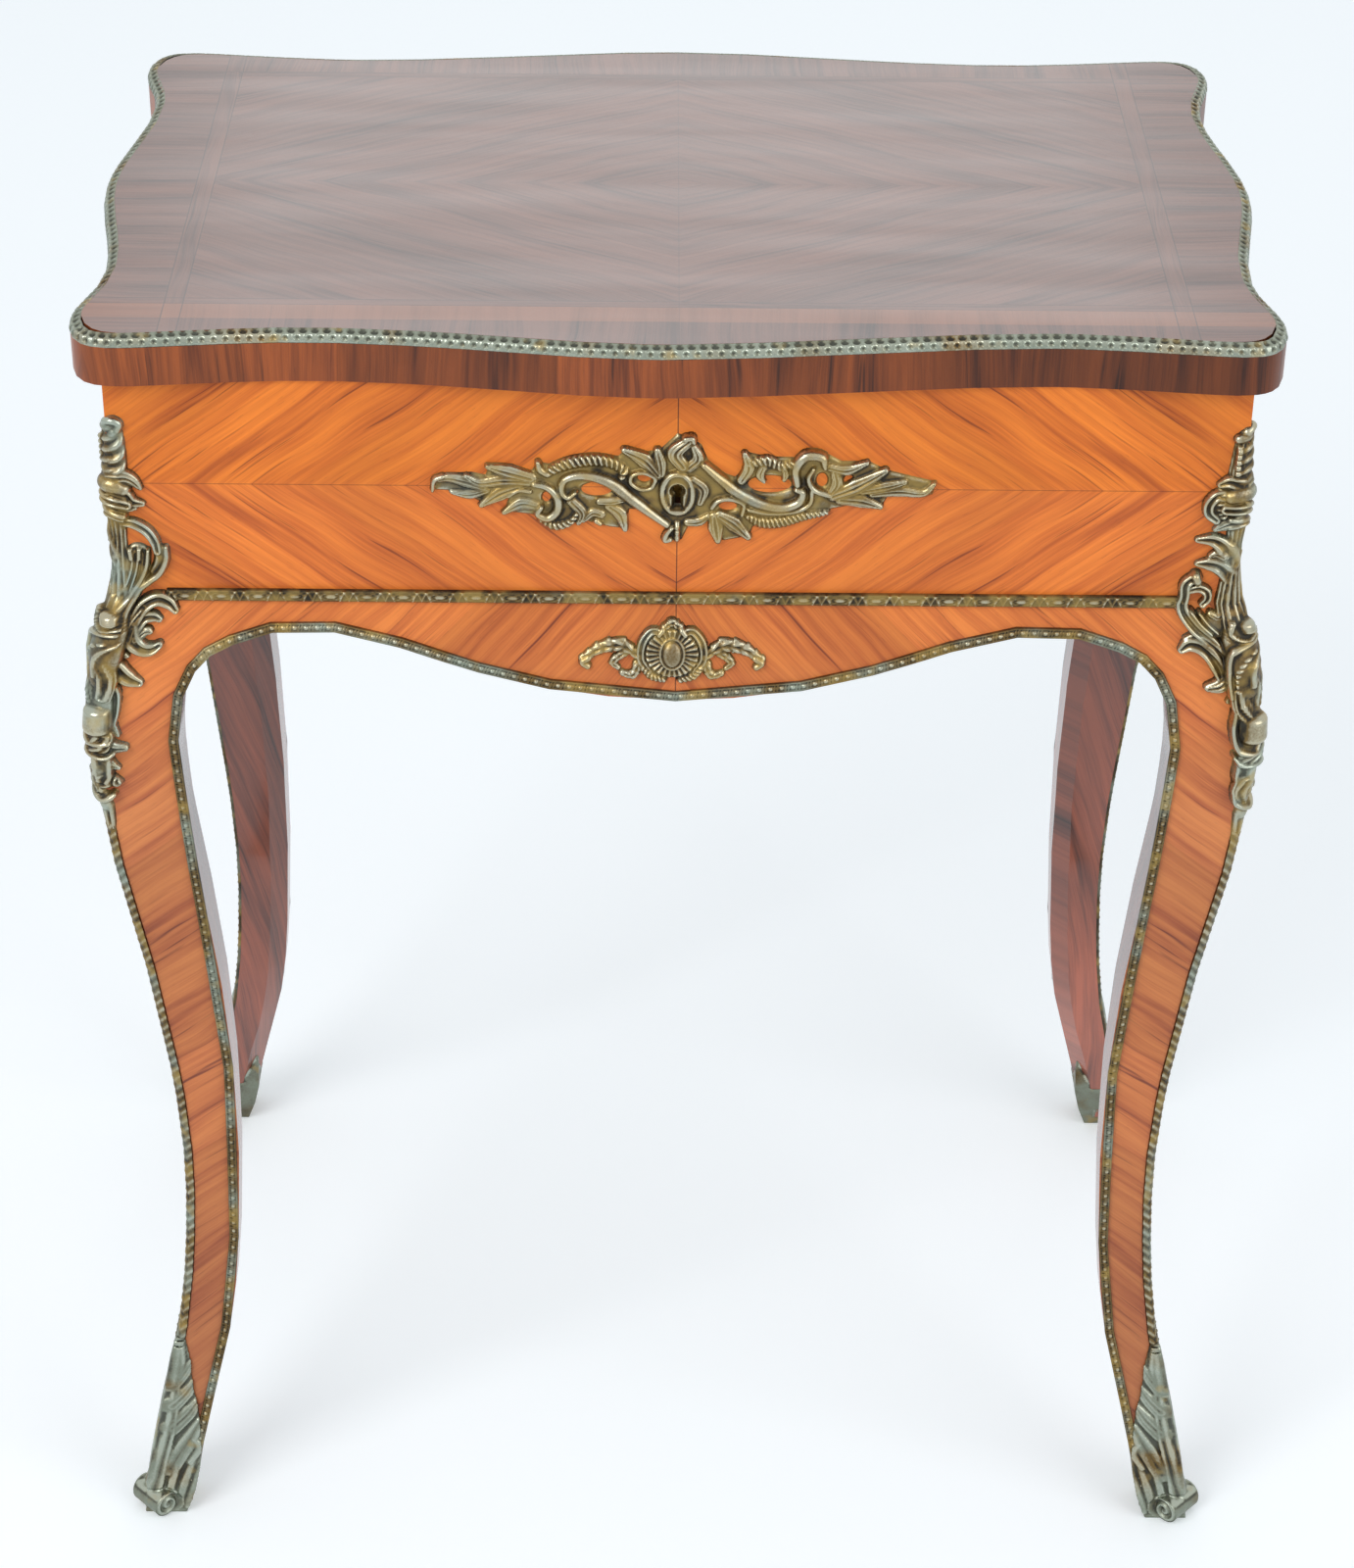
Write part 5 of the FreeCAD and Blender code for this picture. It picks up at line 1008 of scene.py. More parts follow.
ESCUTCHEON_STROKES = (
    ("lobe", ((-95.9, 656.9), (-104.2, 660), (-112.6, 662), (-118.9, 660.9)), (2.7, 3.2, 2.4, 1.4), 3),
    ("round", ((-115.8, 662.9), (-119.7, 660.9), (-120.7, 655.2)), (1.6, 1.6, 1.2), 3.4),
    ("lobe", ((-72.7, 662.3), (-83.6, 665.4), (-93.7, 668.5)), (3.2, 4.1, 1.6), 3.6),
    ("lobe", ((-74, 660.5), (-86.2, 660.9), (-97.8, 659.5), (-104.2, 663.3)), (3, 3.5, 2.7, 1.4), 3.4),
    ("lobe", ((-79.1, 657.2), (-88.1, 653.4), (-97.2, 647.3)), (3, 4.1, 1.6), 3.2),
    ("lobe", ((-94.6, 655.2), (-103, 653), (-111.3, 654.4)), (2.2, 2.7, 1.4), 2.8),
    ("round", ((-64.9, 664.7), (-68.2, 667.1), (-69.5, 671.1)), (2.2, 2.4, 1.6), 3.8),
    ("rope", ((-64.9, 665.4), (-56.6, 669.7), (-45, 672.2), (-34.7, 671.3), (-28, 667.1), (-28.9, 663.3)),
     (2.7, 3.5, 3.5, 3.2, 2.2), 4.2, 16),
    ("round", ((-51.4, 655.2), (-55.3, 652.4), (-58.1, 656.2), (-56.6, 661.9), (-49.5, 664.3),
     (-40.5, 662.9), (-32.7, 659.1), (-25, 652.3), (-16, 644.9), (-7, 637.9)),
     (1.4, 1.8, 2.3, 2.7, 3.2, 3.5, 3.2, 2.4), 4.6),
    ("round", ((-71.4, 659.5), (-64.9, 657.6), (-60.2, 652), (-60.2, 644.9), (-64.9, 640.7), (-69.7, 643.1),
     (-67.9, 646.8)), (1.9, 2.4, 2.7, 2.7, 2.4, 1.6), 4.4),
    ("lobe", ((-70.7, 647.1), (-77.8, 648.2), (-86.2, 643.5)), (2.7, 3.5, 1.6), 3.2),
    ("round", ((-73.3, 655.2), (-79.1, 655.8), (-83.9, 652.4)), (1.6, 1.6, 1.1), 3.4),
    ("rope", ((-68.2, 639.7), (-61.7, 636), (-54.6, 637.9), (-50.8, 642.8)), (2.2, 2.7, 2.4, 1.6), 3.8, 8),
    ("lobe", ((-53.3, 649.9), (-48.2, 643.5), (-49.9, 637.9)), (2.7, 3, 1.4), 3.4),
    ("lobe", ((-39.2, 642.8), (-43, 643.5), (-47.5, 639.3)), (2.7, 2.7, 1.4), 3.2),
    ("lobe", ((-39.8, 649.9), (-33.4, 649.9), (-28, 651)), (1.9, 2.4, 1.6), 3.4),
    ("lobe", ((-34.7, 647.3), (-29.5, 642.8), (-27.2, 634.6)), (2.7, 3.5, 1.6), 3.4),
    ("round", ((-41.1, 639.3), (-39.2, 637.9)), (2, 1.6), 3.8),
    ("lobe", ((-11.2, 664.7), (-17.9, 672.5), (-27.6, 678.1)), (2.7, 4.3, 1.9), 3.8),
    ("lobe", ((-9.5, 665.4), (-10.2, 671.8), (-11.7, 678.1)), (2.4, 3.2, 1.9), 3.8),
    ("round", ((-12.5, 661.9), (-14.7, 657.9), (-19.8, 657.2), (-24.4, 660.5), (-23.7, 664.7),
     (-18.6, 666.1), (-13.4, 664), (-12.5, 661.9)), (1.4, 1.5, 1.5), 3.8),
    ("lobe", ((0.8, 669.7), (-3.1, 676.7), (3.4, 683.5)), (3.5, 4.3, 3), 4.6),
    ("lobe", ((3.4, 668.9), (7.9, 673.9), (5.9, 680.2)), (3, 3.2, 1.9), 4),
    ("round", ((1.7, 684.9), (5, 685.2), (6.1, 682.9)), (1.9, 2, 1.4), 4.6),
    ("lobe", ((5.3, 661.9), (10.4, 656.9), (9.2, 649.9)), (3, 3.5, 2.2), 3.8),
    ("round", ((11.1, 670.4), (19.5, 662.3), (29.1, 654.4), (39.1, 649.2), (49.1, 647.3), (57.1, 650.4),
     (58.9, 655.8), (55.8, 657.6)), (2.4, 3.2, 3.5, 3.2, 3, 2.4, 1.6), 4.6),
    ("lobe", ((29.1, 661.9), (32.6, 668.9), (30.4, 676.7)), (2.4, 3.2, 1.6), 3.8),
    ("rope", ((33, 671.1), (41.4, 672.5), (47.8, 669.7), (54.3, 671.1)), (2.7, 3.2, 3, 2.2), 3.8, 9),
    ("lobe", ((39.4, 668.9), (38.1, 664.7), (40.1, 661.5)), (2.2, 2.4, 1.1), 3.2),
    ("lobe", ((49.7, 668.9), (50.6, 665.4), (49.7, 662.3)), (1.9, 2.2, 1.1), 3.2),
    ("round", ((56.2, 660.5), (55.3, 668.9), (60.1, 675.6), (67.8, 675), (69.5, 669.7)),
     (2.2, 2.7, 3.2, 3, 1.6), 4.8),
    ("round", ((63.9, 668.9), (61.6, 663.3), (64.8, 657.2), (72.3, 654.4)), (1.4, 1.6, 1.9, 1.9), 4),
    ("lobe", ((71, 669.7), (80, 668), (89.7, 672.2)), (2.4, 3, 1.4), 3.6),
    ("lobe", ((74.2, 667.5), (75.5, 660.5), (72.3, 655.2)), (2.4, 3.2, 1.9), 3.4),
    ("lobe", ((73.6, 654.1), (85.2, 659.1), (98.7, 668)), (3, 4.6, 1.9), 3.8),
    ("lobe", ((77.5, 652), (87.8, 651), (97, 648.2)), (3, 3.8, 1.6), 3.4),
    ("lobe", ((87.8, 656.7), (99.4, 659.1), (108.4, 661.9)), (2.4, 3.2, 1.6), 3.4),
    ("lobe", ((92.9, 655.2), (105.8, 656.7), (117.4, 655.8), (122.6, 660.9)), (2.2, 3.2, 2.2, 1.4), 3.4),
    ("rope", ((32.6, 642.5), (39.4, 638.9), (49.1, 639.3), (59.4, 642.5), (71, 644.9)),
     (2.2, 3.5, 3.5, 3, 1.6), 4.2, 18),
    ("round", ((33, 646.3), (42.7, 644.5), (55.5, 645.6), (62.6, 649.9), (63.5, 656.9)),
     (1.5, 1.6, 1.8, 1.6), 3.8),
    ("lobe", ((16.2, 642.1), (17.1, 635.8), (18.2, 628.7)), (2.7, 4.1, 1.9), 3.6),
    ("lobe", ((18.8, 642.8), (25.9, 637.9), (33, 630.8)), (2.7, 4.3, 1.9), 3.6),
    ("round", ((15, 647.3), (18.2, 651.3), (24.6, 652), (30.4, 649.2), (29.8, 643.5)), (1.6, 1.6, 1.4), 4),
    ("lobe", ((3.4, 638.6), (9.2, 639.3), (13.3, 642.5)), (2.2, 2.7, 1.6), 3.4),
    ("beads", ((-1.8, 637.9), (-1.8, 628.7)), (1.8, 1.6), 4.2),
    ("round", ((-4.4, 635.8), (-7, 632.2), (-7.6, 629), (-5.3, 629.4)), (1.4, 2, 1.9), 4),
)
ESCUTCHEON_HOLES = (
    ((-41, 656), (7.5, 3.6)),
    ((43, 659.5), (10.5, 4.6)),
    ((-17.8, 662.6), (3.4, 2.4)),
    ((-65.5, 651.5), (2, 2.6)),
    ((68.2, 662), (2.6, 3.6)),
    ((81.2, 661.6), (2.4, 3.2)),
    ((22.8, 647.2), (4.4, 2.2)),
)
# Height in mm of the plate between the scrolls, and how steeply its edge rises
PLATE_HEIGHT = 1.1
PLATE_EDGE = 1.1
# The keyhole is this far left of the sheet's middle, so the sheet moves right by as much
SHIFT = 1.8
BOSS_PLACE = (-1.7, 655.0)
KEYHOLE = (-SHIFT, 655.7)
KEY_RADIUS, KEY_HALF, KEY_LENGTH = 3.0, 1.9, 8.4


def ring_round(centre, half_wide, half_tall, count):
    """Points on an oval."""
    return [(centre[0] + half_wide * math.sin(a), centre[1] + half_tall * math.cos(a))
            for a in np.linspace(0, 2 * math.pi, count)]


def cast_escutcheon():
    """Two long scrolls, leaves and a boss with the keyhole cut through."""
    sheet = Relief((-124.0, 625.0), (126.0, 690.0), 0.55)
    sheet.raise_to(np.minimum(sheet.inside(ESCUTCHEON_EDGE) * PLATE_EDGE, PLATE_HEIGHT))
    for centre, half in ESCUTCHEON_HOLES:
        sheet.pierce((1 - sheet.ratio(centre, half)) * min(half) * SLOPE)
    sheet.strokes(ESCUTCHEON_STROKES)
    sheet.stroke(ring_round(BOSS_PLACE, 7.2, 10.4, 17), 2.4, 4.2)
    ratio = sheet.ratio(BOSS_PLACE, (6.4, 9.6))
    sheet.field = np.where(ratio < 1, np.maximum(2.2, 3.6 * np.clip(1 - ratio, 0, 1)), sheet.field)
    beside = np.abs(sheet.across - KEYHOLE[0])
    below = KEYHOLE[1] - sheet.up
    slot_part = np.minimum(KEY_HALF - beside, np.minimum(below, KEY_LENGTH - below))
    sheet.pierce(np.maximum(KEY_RADIUS - np.hypot(beside, below), slot_part) * 2.0)
    return sheet

# %% [markdown]
# The cartouche is built the same way. Its strokes are measured from its middle, and each is
# laid on both sides.
# %% Cartouche
CARTOUCHE_MIDDLE = (-1.8, 568.5)
SHELL_HEIGHT = 1.5
SHELL_RAYS = 26
CARTOUCHE_SIDE = (
    ("channel", ((11.5, -9.5), (15.5, -3), (15, 5), (10.5, 11), (5.5, 10.5)), (1.7, 2.3, 1.9), (3, 4, 3.4)),
    ("round", ((6.4, 9.6), (4.8, 11.8)), 2, 4),
    ("rope", ((4, -14), (10.5, -12), (14.5, -7.5)), (1.8, 2.4, 2), 3.4, 6),
    ("leaf", ((16, -2), (25, 3.8), (35, 2.6), (44.5, -3)), (2.4, 4.2, 4, 2.2), (3, 3.4, 2.4), 6),
    ("leaf", ((17, -6), (19.5, -11.5), (24.5, -10.5)), (3, 2.8, 1.9), 3),
    ("leaf", ((24, 0), (29.5, -4.4), (27, -7.6)), (2.6, 2.4, 1.6), 2.8),
    ("round", ((41.5, -2.5), (44.5, -5), (42, -7)), 2.1, 3),
)
CARTOUCHE_TOP = (("leaf", ((-3.6, 13.2), (0, 15.4), (3.6, 13.2)), (2.2, 2.8, 2.2), 3.6),)


def cast_cartouche():
    """A shell round a polished oval, with a leaf on each side."""
    sheet = Relief((-52.0, 549.0), (48.0, 587.0), 0.5)
    x0, z0 = CARTOUCHE_MIDDLE
    edge = [(x0 + 16.5 * math.sin(a), z0 + (14.5 + 1.2 * math.cos(5 * a)) * math.cos(a))
            for a in np.linspace(0, 2 * math.pi, 40, endpoint=False)]
    sheet.raise_to(np.minimum(sheet.inside(edge) * PLATE_EDGE, SHELL_HEIGHT))
    angle = np.arctan2(sheet.up - z0, sheet.across - x0)
    reach = sheet.ratio(CARTOUCHE_MIDDLE, (13.0, 12.0))
    rays = 1.9 + 0.55 * np.cos(angle * SHELL_RAYS) + 1.0 * np.clip(reach, 0, 1)
    sheet.field = np.where(reach < 1, np.maximum(sheet.field, rays), sheet.field)
    sheet.strokes(CARTOUCHE_SIDE, -1, CARTOUCHE_MIDDLE)
    sheet.strokes(CARTOUCHE_SIDE + CARTOUCHE_TOP, 1, CARTOUCHE_MIDDLE)
    sheet.stroke(ring_round(CARTOUCHE_MIDDLE, 5.9, 7.8, 13), 1.1, 3.4)
    oval = sheet.ratio(CARTOUCHE_MIDDLE, (4.9, 6.9))
    sheet.field = np.where(oval < 1, 2.4 + 2.6 * dome(oval), sheet.field)
    return sheet


def flat_wrap(s, t, height):
    """Lay a sheet on the flat front of the box."""
    return np.stack([s + SHIFT, -BOX_HALF_DEPTH - height, t], axis=1)


def apron_wrap(s, t, height):
    """Lay a sheet on the swelling front of the apron."""
    return np.stack([s, -BOX_HALF_DEPTH - np.interp(t, apron_levels, apron_out) - height, t], axis=1)


shown(cast_escutcheon().mesh("cast_escutcheon", flat_wrap), gilt_rubbed, "table", "keyhole_escutcheon")
shown(cast_cartouche().mesh("cast_cartouche", apron_wrap), gilt_rubbed, "table", "apron_cartouche")
print("escutcheon and cartouche cast")

# %% [markdown]
# Finding the line that each brass border follows.
#
# Each border is a flat band in the frame, cut into triangles. Walking from triangle to
# triangle across their shared sides, and noting the middle of every side, draws the band's
# middle line. The way each triangle faces is noted with it, for laying the ornament.
# %% Walking along a band
def band_line(name, wanted):
    """Middle line of a band of triangles and its facing; wanted picks the triangles."""
    data = nodes[name].data
    keys = {}
    spots = [keys.setdefault(tuple(round(c * 1e5) for c in vert.co), len(keys)) for vert in data.vertices]
    where = {key: data.vertices[i].co for i, key in enumerate(spots)}
    faces = [face for face in data.polygons if wanted(face)]
    sides = {}
    for number, face in enumerate(faces):
        loop = [spots[i] for i in face.vertices]
        for a, b in zip(loop, loop[1:] + loop[:1]):
            sides.setdefault(frozenset((a, b)), []).append(number)
    beside = {number: [] for number in range(len(faces))}
    for side, pair in sides.items():
        if len(pair) == 2:
            beside[pair[0]].append((pair[1], side))
            beside[pair[1]].append((pair[0], side))

    def middle(side):
        a, b = side
        return (where[a] + where[b]) / 2

    def open_end(number):
        """Middle of the short side of an end triangle that has no neighbour, and its facing."""
        lone = [side for side, pair in sides.items() if pair == [number]]
        short = min(lone, key=lambda side: (where[min(side)] - where[max(side)]).length)
        return middle(short), faces[number].normal.copy()

    ends = [number for number, others in beside.items() if len(others) == 1]
    here = ends[0] if ends else 0
    line = [open_end(here)] if ends else []
    seen = {here}
    onward = beside[here]
    while onward:
        number, side = onward[0]
        line.append((middle(side), (faces[here].normal + faces[number].normal).normalized()))
        seen.add(number)
        here = number
        onward = [(number, side) for number, side in beside[here] if number not in seen]
    if ends:
        line.append(open_end(here))
    return [point for point, facing in line], [facing for point, facing in line], not ends


def path_object(name, points, facings, closed):
    """A chain of points that remembers the way the surface faces."""
    data = bpy.data.meshes.new(name)
    links = [(i, i + 1) for i in range(len(points) - 1)]
    if closed:
        links.append((len(points) - 1, 0))
    data.from_pydata([tuple(point) for point in points], links, [])
    note = data.attributes.new("facing", "FLOAT_VECTOR", "POINT")
    note.data.foreach_set("vector", np.array([tuple(way) for way in facings], np.float32).ravel())
    piece = bpy.data.objects.new(name, data)
    scene.collection.objects.link(piece)
    return piece

# %% [markdown]
# One tree lays every border: it repeats an element in a straight row, then bends the row.
#
# The founder casts such borders in straight strips and the bronze worker bends them to the
# wood. The tree does the same. It divides the path's length by the pitch, sets out whole
# elements on a straight line, and moves each vertex to the spot on the path as far along
# as its own x, so the ornament follows tight curves with no gaps.
# %% The border tree
BORDER_WELD = 0.00002


def vector_math(operation, *values, **named):
    """One step with vectors."""
    return box("ShaderNodeVectorMath", *values, setup={"operation": operation}, **named)


def kept_facing(tree):
    """The way the surface faces, as the path remembers it."""
    return box("GeometryNodeInputNamedAttribute", tree=tree, Name="facing",
               setup={"data_type": "FLOAT_VECTOR"})


def border_tree():
    """Repeat an element along a path and bend it to the path."""
    tree, given = geometry_tree("border_along_path", Element="Object", Pitch="Float", Finish="Material")
    line = box("GeometryNodeMeshToCurve", given["Geometry"])
    length = box("GeometryNodeCurveLength", line)
    count = round(length / given["Pitch"])
    step = length / count
    row = box("GeometryNodeMeshLine", Count=count, Start_Location=joined(step / 2.0, 0.0, 0.0),
              Offset=joined(step, 0.0, 0.0))
    part = box("GeometryNodeObjectInfo", Object=given["Element"], result="Geometry")
    laid = box("GeometryNodeInstanceOnPoints", Points=row, Instance=part,
               Scale=joined(step / given["Pitch"], 1.0, 1.0))
    real = box("GeometryNodeRealizeInstances", laid)
    x, y, z = parted(box("GeometryNodeInputPosition", tree=tree))
    spot = box("GeometryNodeSampleCurve", Curves=line, Value=kept_facing(tree), Length=x,
               setup={"mode": "LENGTH", "data_type": "FLOAT_VECTOR", "use_all_curves": True})
    found = spot.socket.node.outputs
    out, tangent, middle = [Wire(tree, found[label]) for label in ("Value", "Tangent", "Position")]
    beside = vector_math("CROSS_PRODUCT", out, tangent)
    moved = vector_math("ADD", vector_math("SCALE", beside, Scale=y), vector_math("SCALE", out, Scale=z))
    bend = box("GeometryNodeSetPosition", Geometry=real, Position=vector_math("ADD", middle, moved))
    weld = box("GeometryNodeMergeByDistance", Geometry=bend, Distance=BORDER_WELD)
    whole = box("GeometryNodeRealizeInstances", box("GeometryNodeSetShadeSmooth", weld))
    return close_tree(tree, box("GeometryNodeSetMaterial", Geometry=whole, Material=given["Finish"]))


def made_plain(piece, name):
    """The evaluated result of an object's modifiers, as a plain mesh; the object goes."""
    bpy.context.view_layer.update()
    seen = piece.evaluated_get(bpy.context.evaluated_depsgraph_get())
    data = bpy.data.meshes.new_from_object(seen)
    data.name = name
    bpy.data.objects.remove(piece)
    return data


borders = border_tree()


def lay_border(name, points, facings, closed, kind, pitch, body, stands_for=None, finish=gilt_rubbed):
    """Lay one border along a path and put it in the scene."""
    piece = path_object(name + "_path", points, facings, closed)
    give_tree(piece, borders, Element=kind, Pitch=pitch * MM, Finish=finish)
    return shown(made_plain(piece, name), finish, body, stands_for)

# %% [markdown]
# The elements that the borders repeat.
#
# Four patterns are on this table: small leaves and beads along the aprons and legs, long
# beads in oval frames on the strip round the box, a rope of leaves down the corners, and
# arches with beads round the lid. Each is one small sheet of cells with a height formula.
# %% Border elements
# Below 1, a quarter round swells towards its square
SQUARED = 0.80


def element(name, pitch, columns, rows, shape):
    """One repeat: x along the border, y across it, z outwards, all from a height formula."""
    along, across = np.meshgrid(np.linspace(-pitch / 2, pitch / 2, columns + 1), np.array(rows, float))
    y, z, wear_and_painted_light = shape(along, across, pitch)
    place = np.stack([along, y, z], axis=-1).reshape(-1, 3) * MM
    data = mesh_from(name, place, grid_faces(*along.shape), np.clip(wear_and_painted_light, 0, 1).ravel())
    return bpy.data.objects.new(name, data)


def with_flanks(across, half_width, height, wear_and_painted_light, foot):
    """Turn the outermost rows of a flat element down to its foot."""
    flank = np.abs(across) > 0.97
    return across * half_width, np.where(flank, foot, height), np.where(flank, 0.1, wear_and_painted_light)


def leaf_and_bead(along, across, pitch):
    """Rims, a bead, and two leaves that curl away from it."""
    rim = ridge(np.abs(across) - 0.82, 0.12)
    bead = dome(np.hypot(along / 1.3, across / 0.46))
    curled = np.abs(along - 1.1 * across) - 2.1
    blade = dome(np.hypot(curled / 0.85, across / 0.66))
    vein = ridge(curled, 0.22)
    height = 0.08 + 0.55 * rim + 1.15 * bead + 0.85 * blade * (1 - 0.4 * vein)
    wear_and_painted_light = 0.02 + 0.50 * rim + 0.90 * bead + 0.65 * blade * (1 - 0.6 * vein)
    return with_flanks(across, 2.62, height, wear_and_painted_light, -1.2)


def long_bead(along, across, pitch):
    """A long bead in an oval frame, with scrolls between one frame and the next."""
    rim = ridge(np.abs(across) - 0.84, 0.12)
    ratio = np.hypot(along / 3.2, across / 0.40)
    frame_ring = ridge(ratio - 1.55, 0.24) * (np.abs(along) < 6.2)
    far = pitch / 2 - np.abs(along)
    scroll = ridge(far - 1.0 - 1.5 * across, 0.50) + ridge(far - 3.4 + 1.3 * across, 0.50)
    scroll = np.clip(scroll, 0, 1) * (np.abs(across) < 0.84)
    height = 0.06 + 0.30 * rim + 1.0 * dome(ratio) + 0.65 * frame_ring + 0.80 * scroll
    wear_and_painted_light = 0.02 + 0.35 * rim + 0.95 * dome(ratio) + 0.60 * frame_ring + 0.65 * scroll
    return with_flanks(across, 2.95, height, wear_and_painted_light, -2.4)


def leafy_rope(along, across, pitch):
    """A round rod of overlapping leaves, for the corner of the leg."""
    turn = across * math.pi * 0.36
    leaves = np.cos(2 * math.pi * along / pitch + 1.4 * np.cos(across * math.pi))
    vein = ridge(across, 0.12)
    reach = 3.5 + 0.32 * leaves - 0.30 * vein + 0.15 * wave(3 * along / pitch) * (1 - np.abs(across))
    return reach * np.sin(turn), reach * np.cos(turn) - 3.3, 0.48 + 0.34 * leaves - 0.25 * vein


def arch_and_bead(along, across, pitch):
    """Over a squared edge: an arch round a deep hollow on top, small hollows between below."""
    share = (across + 1) / 2
    turn = np.clip(share * math.pi / 2, 0, math.pi / 2 - 1e-6)
    between = np.abs(along) - pitch / 2
    hollow = dome(np.hypot(along / (pitch * 0.37), (share - 0.29) / 0.20))
    small = dome(np.hypot(between / (pitch * 0.27), (share - 0.76) / 0.15))
    split = pitch / 2 * np.clip((share - 0.45) * 2.4, 0, 1)
    fork = ridge(np.abs(along) - split, 0.45) * (share > 0.45)
    notch = ridge(between, 0.55) * ridge(share - 0.42, 0.22)
    depth = 0.40 + 1.2 * hollow + 0.95 * small + 0.50 * notch - 0.20 * fork
    depth = np.where(np.abs(across) > 0.99, 0.9, depth)
    # Painted shade: the deep hollow, the small hollows and the ring's inner edge are darkened in colour; the
    # fork is lighter.
    wear_and_painted_light = 0.72 - 0.95 * hollow - 0.85 * small - 0.55 * ridge(share, 0.1) + 0.28 * fork
    y = 6.4 - (6.4 - depth) * np.sin(turn) ** SQUARED
    z = (6.2 - depth) * np.cos(turn) ** SQUARED - 3.0
    return y, z, wear_and_painted_light


EDGE_PITCH, STRIP_PITCH, ROPE_PITCH, LID_PITCH = 5.6, 18.0, 6.2, 5.6
FLAT_ROWS = (-1, -0.95, -0.78, -0.5, -0.25, 0, 0.25, 0.5, 0.78, 0.95, 1)
edge_element = element("leaf_and_bead_element", EDGE_PITCH, 12, FLAT_ROWS, leaf_and_bead)
strip_element = element("long_bead_element", STRIP_PITCH, 36, FLAT_ROWS, long_bead)
rope_element = element("leafy_rope_element", ROPE_PITCH, 8, np.linspace(-1, 1, 9), leafy_rope)
lid_element = element("arch_and_bead_element", LID_PITCH, 12, np.linspace(-1, 1, 15), arch_and_bead)
print("faces in one lid element:", len(lid_element.data.polygons))

# %% [markdown]
# Laying the borders on the box, the aprons and the legs.
#
# Each side's band is found by the way its faces look. The band and the strip keep their
# solids below the ornament, which closes their ends.
# %% Borders on the sides
SIDES = (
    ("front", Vector((0, -1, 0))),
    ("right", Vector((1, 0, 0))),
    ("rear", Vector((0, 1, 0))),
    ("left", Vector((-1, 0, 0))),
)
# Inner edge of the foot below the cast moulding: level, and distance from the box corner, in mm
FOOT_EDGE = ((8.0, 2.4), (28.8, 6.1), (34.1, 7.4), (48.0, 10.8), (65.6, 15.0))
FOOT_PROUD = 0.9
FOOT_HALF_BAND = 2.4
FOOT_SLOPE = 0.22


def foot_points(sign, outward, half_run, half_out):
    """Middle line of the border down the foot, from the floor up, on one leg of a side."""
    run = Vector((abs(outward.y), abs(outward.x), 0.0))
    points = []
    for level, inner in FOOT_EDGE:
        out = half_out + float(np.interp(level, leg_levels, leg_out)) + FOOT_PROUD
        beside = half_run - inner + FOOT_HALF_BAND
        points.append((run * sign * beside + outward * out + Vector((0, 0, level))) * MM)
    return points


for side, outward in SIDES:
    def looks_out(face):
        return face.normal.dot(outward) > 0.6

    points, facings, closed = band_line(side + "_edge_moulding", looks_out)
    half_run, half_out = BOX_HALF_WIDTH, BOX_HALF_DEPTH
    if outward.x:
        half_run, half_out = BOX_HALF_DEPTH, BOX_HALF_WIDTH
    start_sign = 1 if points[0].dot(Vector((abs(outward.y), abs(outward.x), 0))) > 0 else -1
    first = foot_points(start_sign, outward, half_run, half_out)
    last = foot_points(-start_sign, outward, half_run, half_out)
    slope = Vector((outward.x, outward.y, FOOT_SLOPE)).normalized()
    points = first + points + last[::-1]
    facings = [slope] * len(first) + facings + [slope] * len(last)
    piece = lay_border(side + "_leaf_border", points, facings, closed, edge_element, EDGE_PITCH, "table",
                       finish=gilt_cast)
    low, high = [Vector(corner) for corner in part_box(side + "_bead_strip")]
    reach = (high - low) / 2
    run = Vector((-outward.y, outward.x, 0.0))
    face = (low + high) / 2 + outward * abs(reach.dot(outward))
    points = [face - run * abs(reach.dot(run)), face, face + run * abs(reach.dot(run))]
    strip = lay_border(side + "_bead_border", points, [outward] * 3, False, strip_element,
                       STRIP_PITCH, "table")
    print(side, "border faces:", len(piece.data.polygons), "and", len(strip.data.polygons))

# %% [markdown]
# The rope of leaves down each corner, and the arches round the lid.
#
# The corner's line is read from the solid rod, level by level. The lid's border turns the
# edge between top and side, so its row is wrapped over a quarter round.
# %% Borders on corners and lid
# The rope's own line lies this far in mm inside the rod's outer face
ROPE_SUNK = 0.9
rod_levels, rod_out = swelling("arris_moulding_front_left")
for corner, side_x, side_y, quarter in CORNERS:
    away = Vector((side_x, side_y, 0)).normalized()
    sunk = away * ROPE_SUNK * MM
    points = [Vector(((BOX_HALF_WIDTH + out) * side_x * MM, (BOX_HALF_DEPTH + out) * side_y * MM, level * MM))
              - sunk for level, out in zip(rod_levels, rod_out)]
    rope = lay_border("leafy_rope_" + corner, points, [away] * len(points), False, rope_element, ROPE_PITCH,
                      "table", "arris_moulding_" + corner, gilt_cast)


def lid_side(face):
    """The outer wall of the ring round the lid."""
    return abs(face.normal.z) < 0.3 and face.normal.x * face.center.x + face.normal.y * face.center.y > 0


points, facings, closed = band_line("lid_edge_moulding", lid_side)
area = sum(a.x * b.y - b.x * a.y for a, b in zip(points, points[1:] + points[:1]))
if area < 0:
    points = points[::-1]
arches = lay_border("arches_round_the_lid", points, [Vector((0, 0, 1))] * len(points), closed,
                    lid_element, LID_PITCH, "lid", "lid_edge_moulding", gilt_dusty)
print("lid border closed:", closed, "faces:", len(arches.data.polygons))
print("rope faces:", len(rope.data.polygons))

for used in (edge_element, strip_element, rope_element, lid_element):
    bpy.data.objects.remove(used)

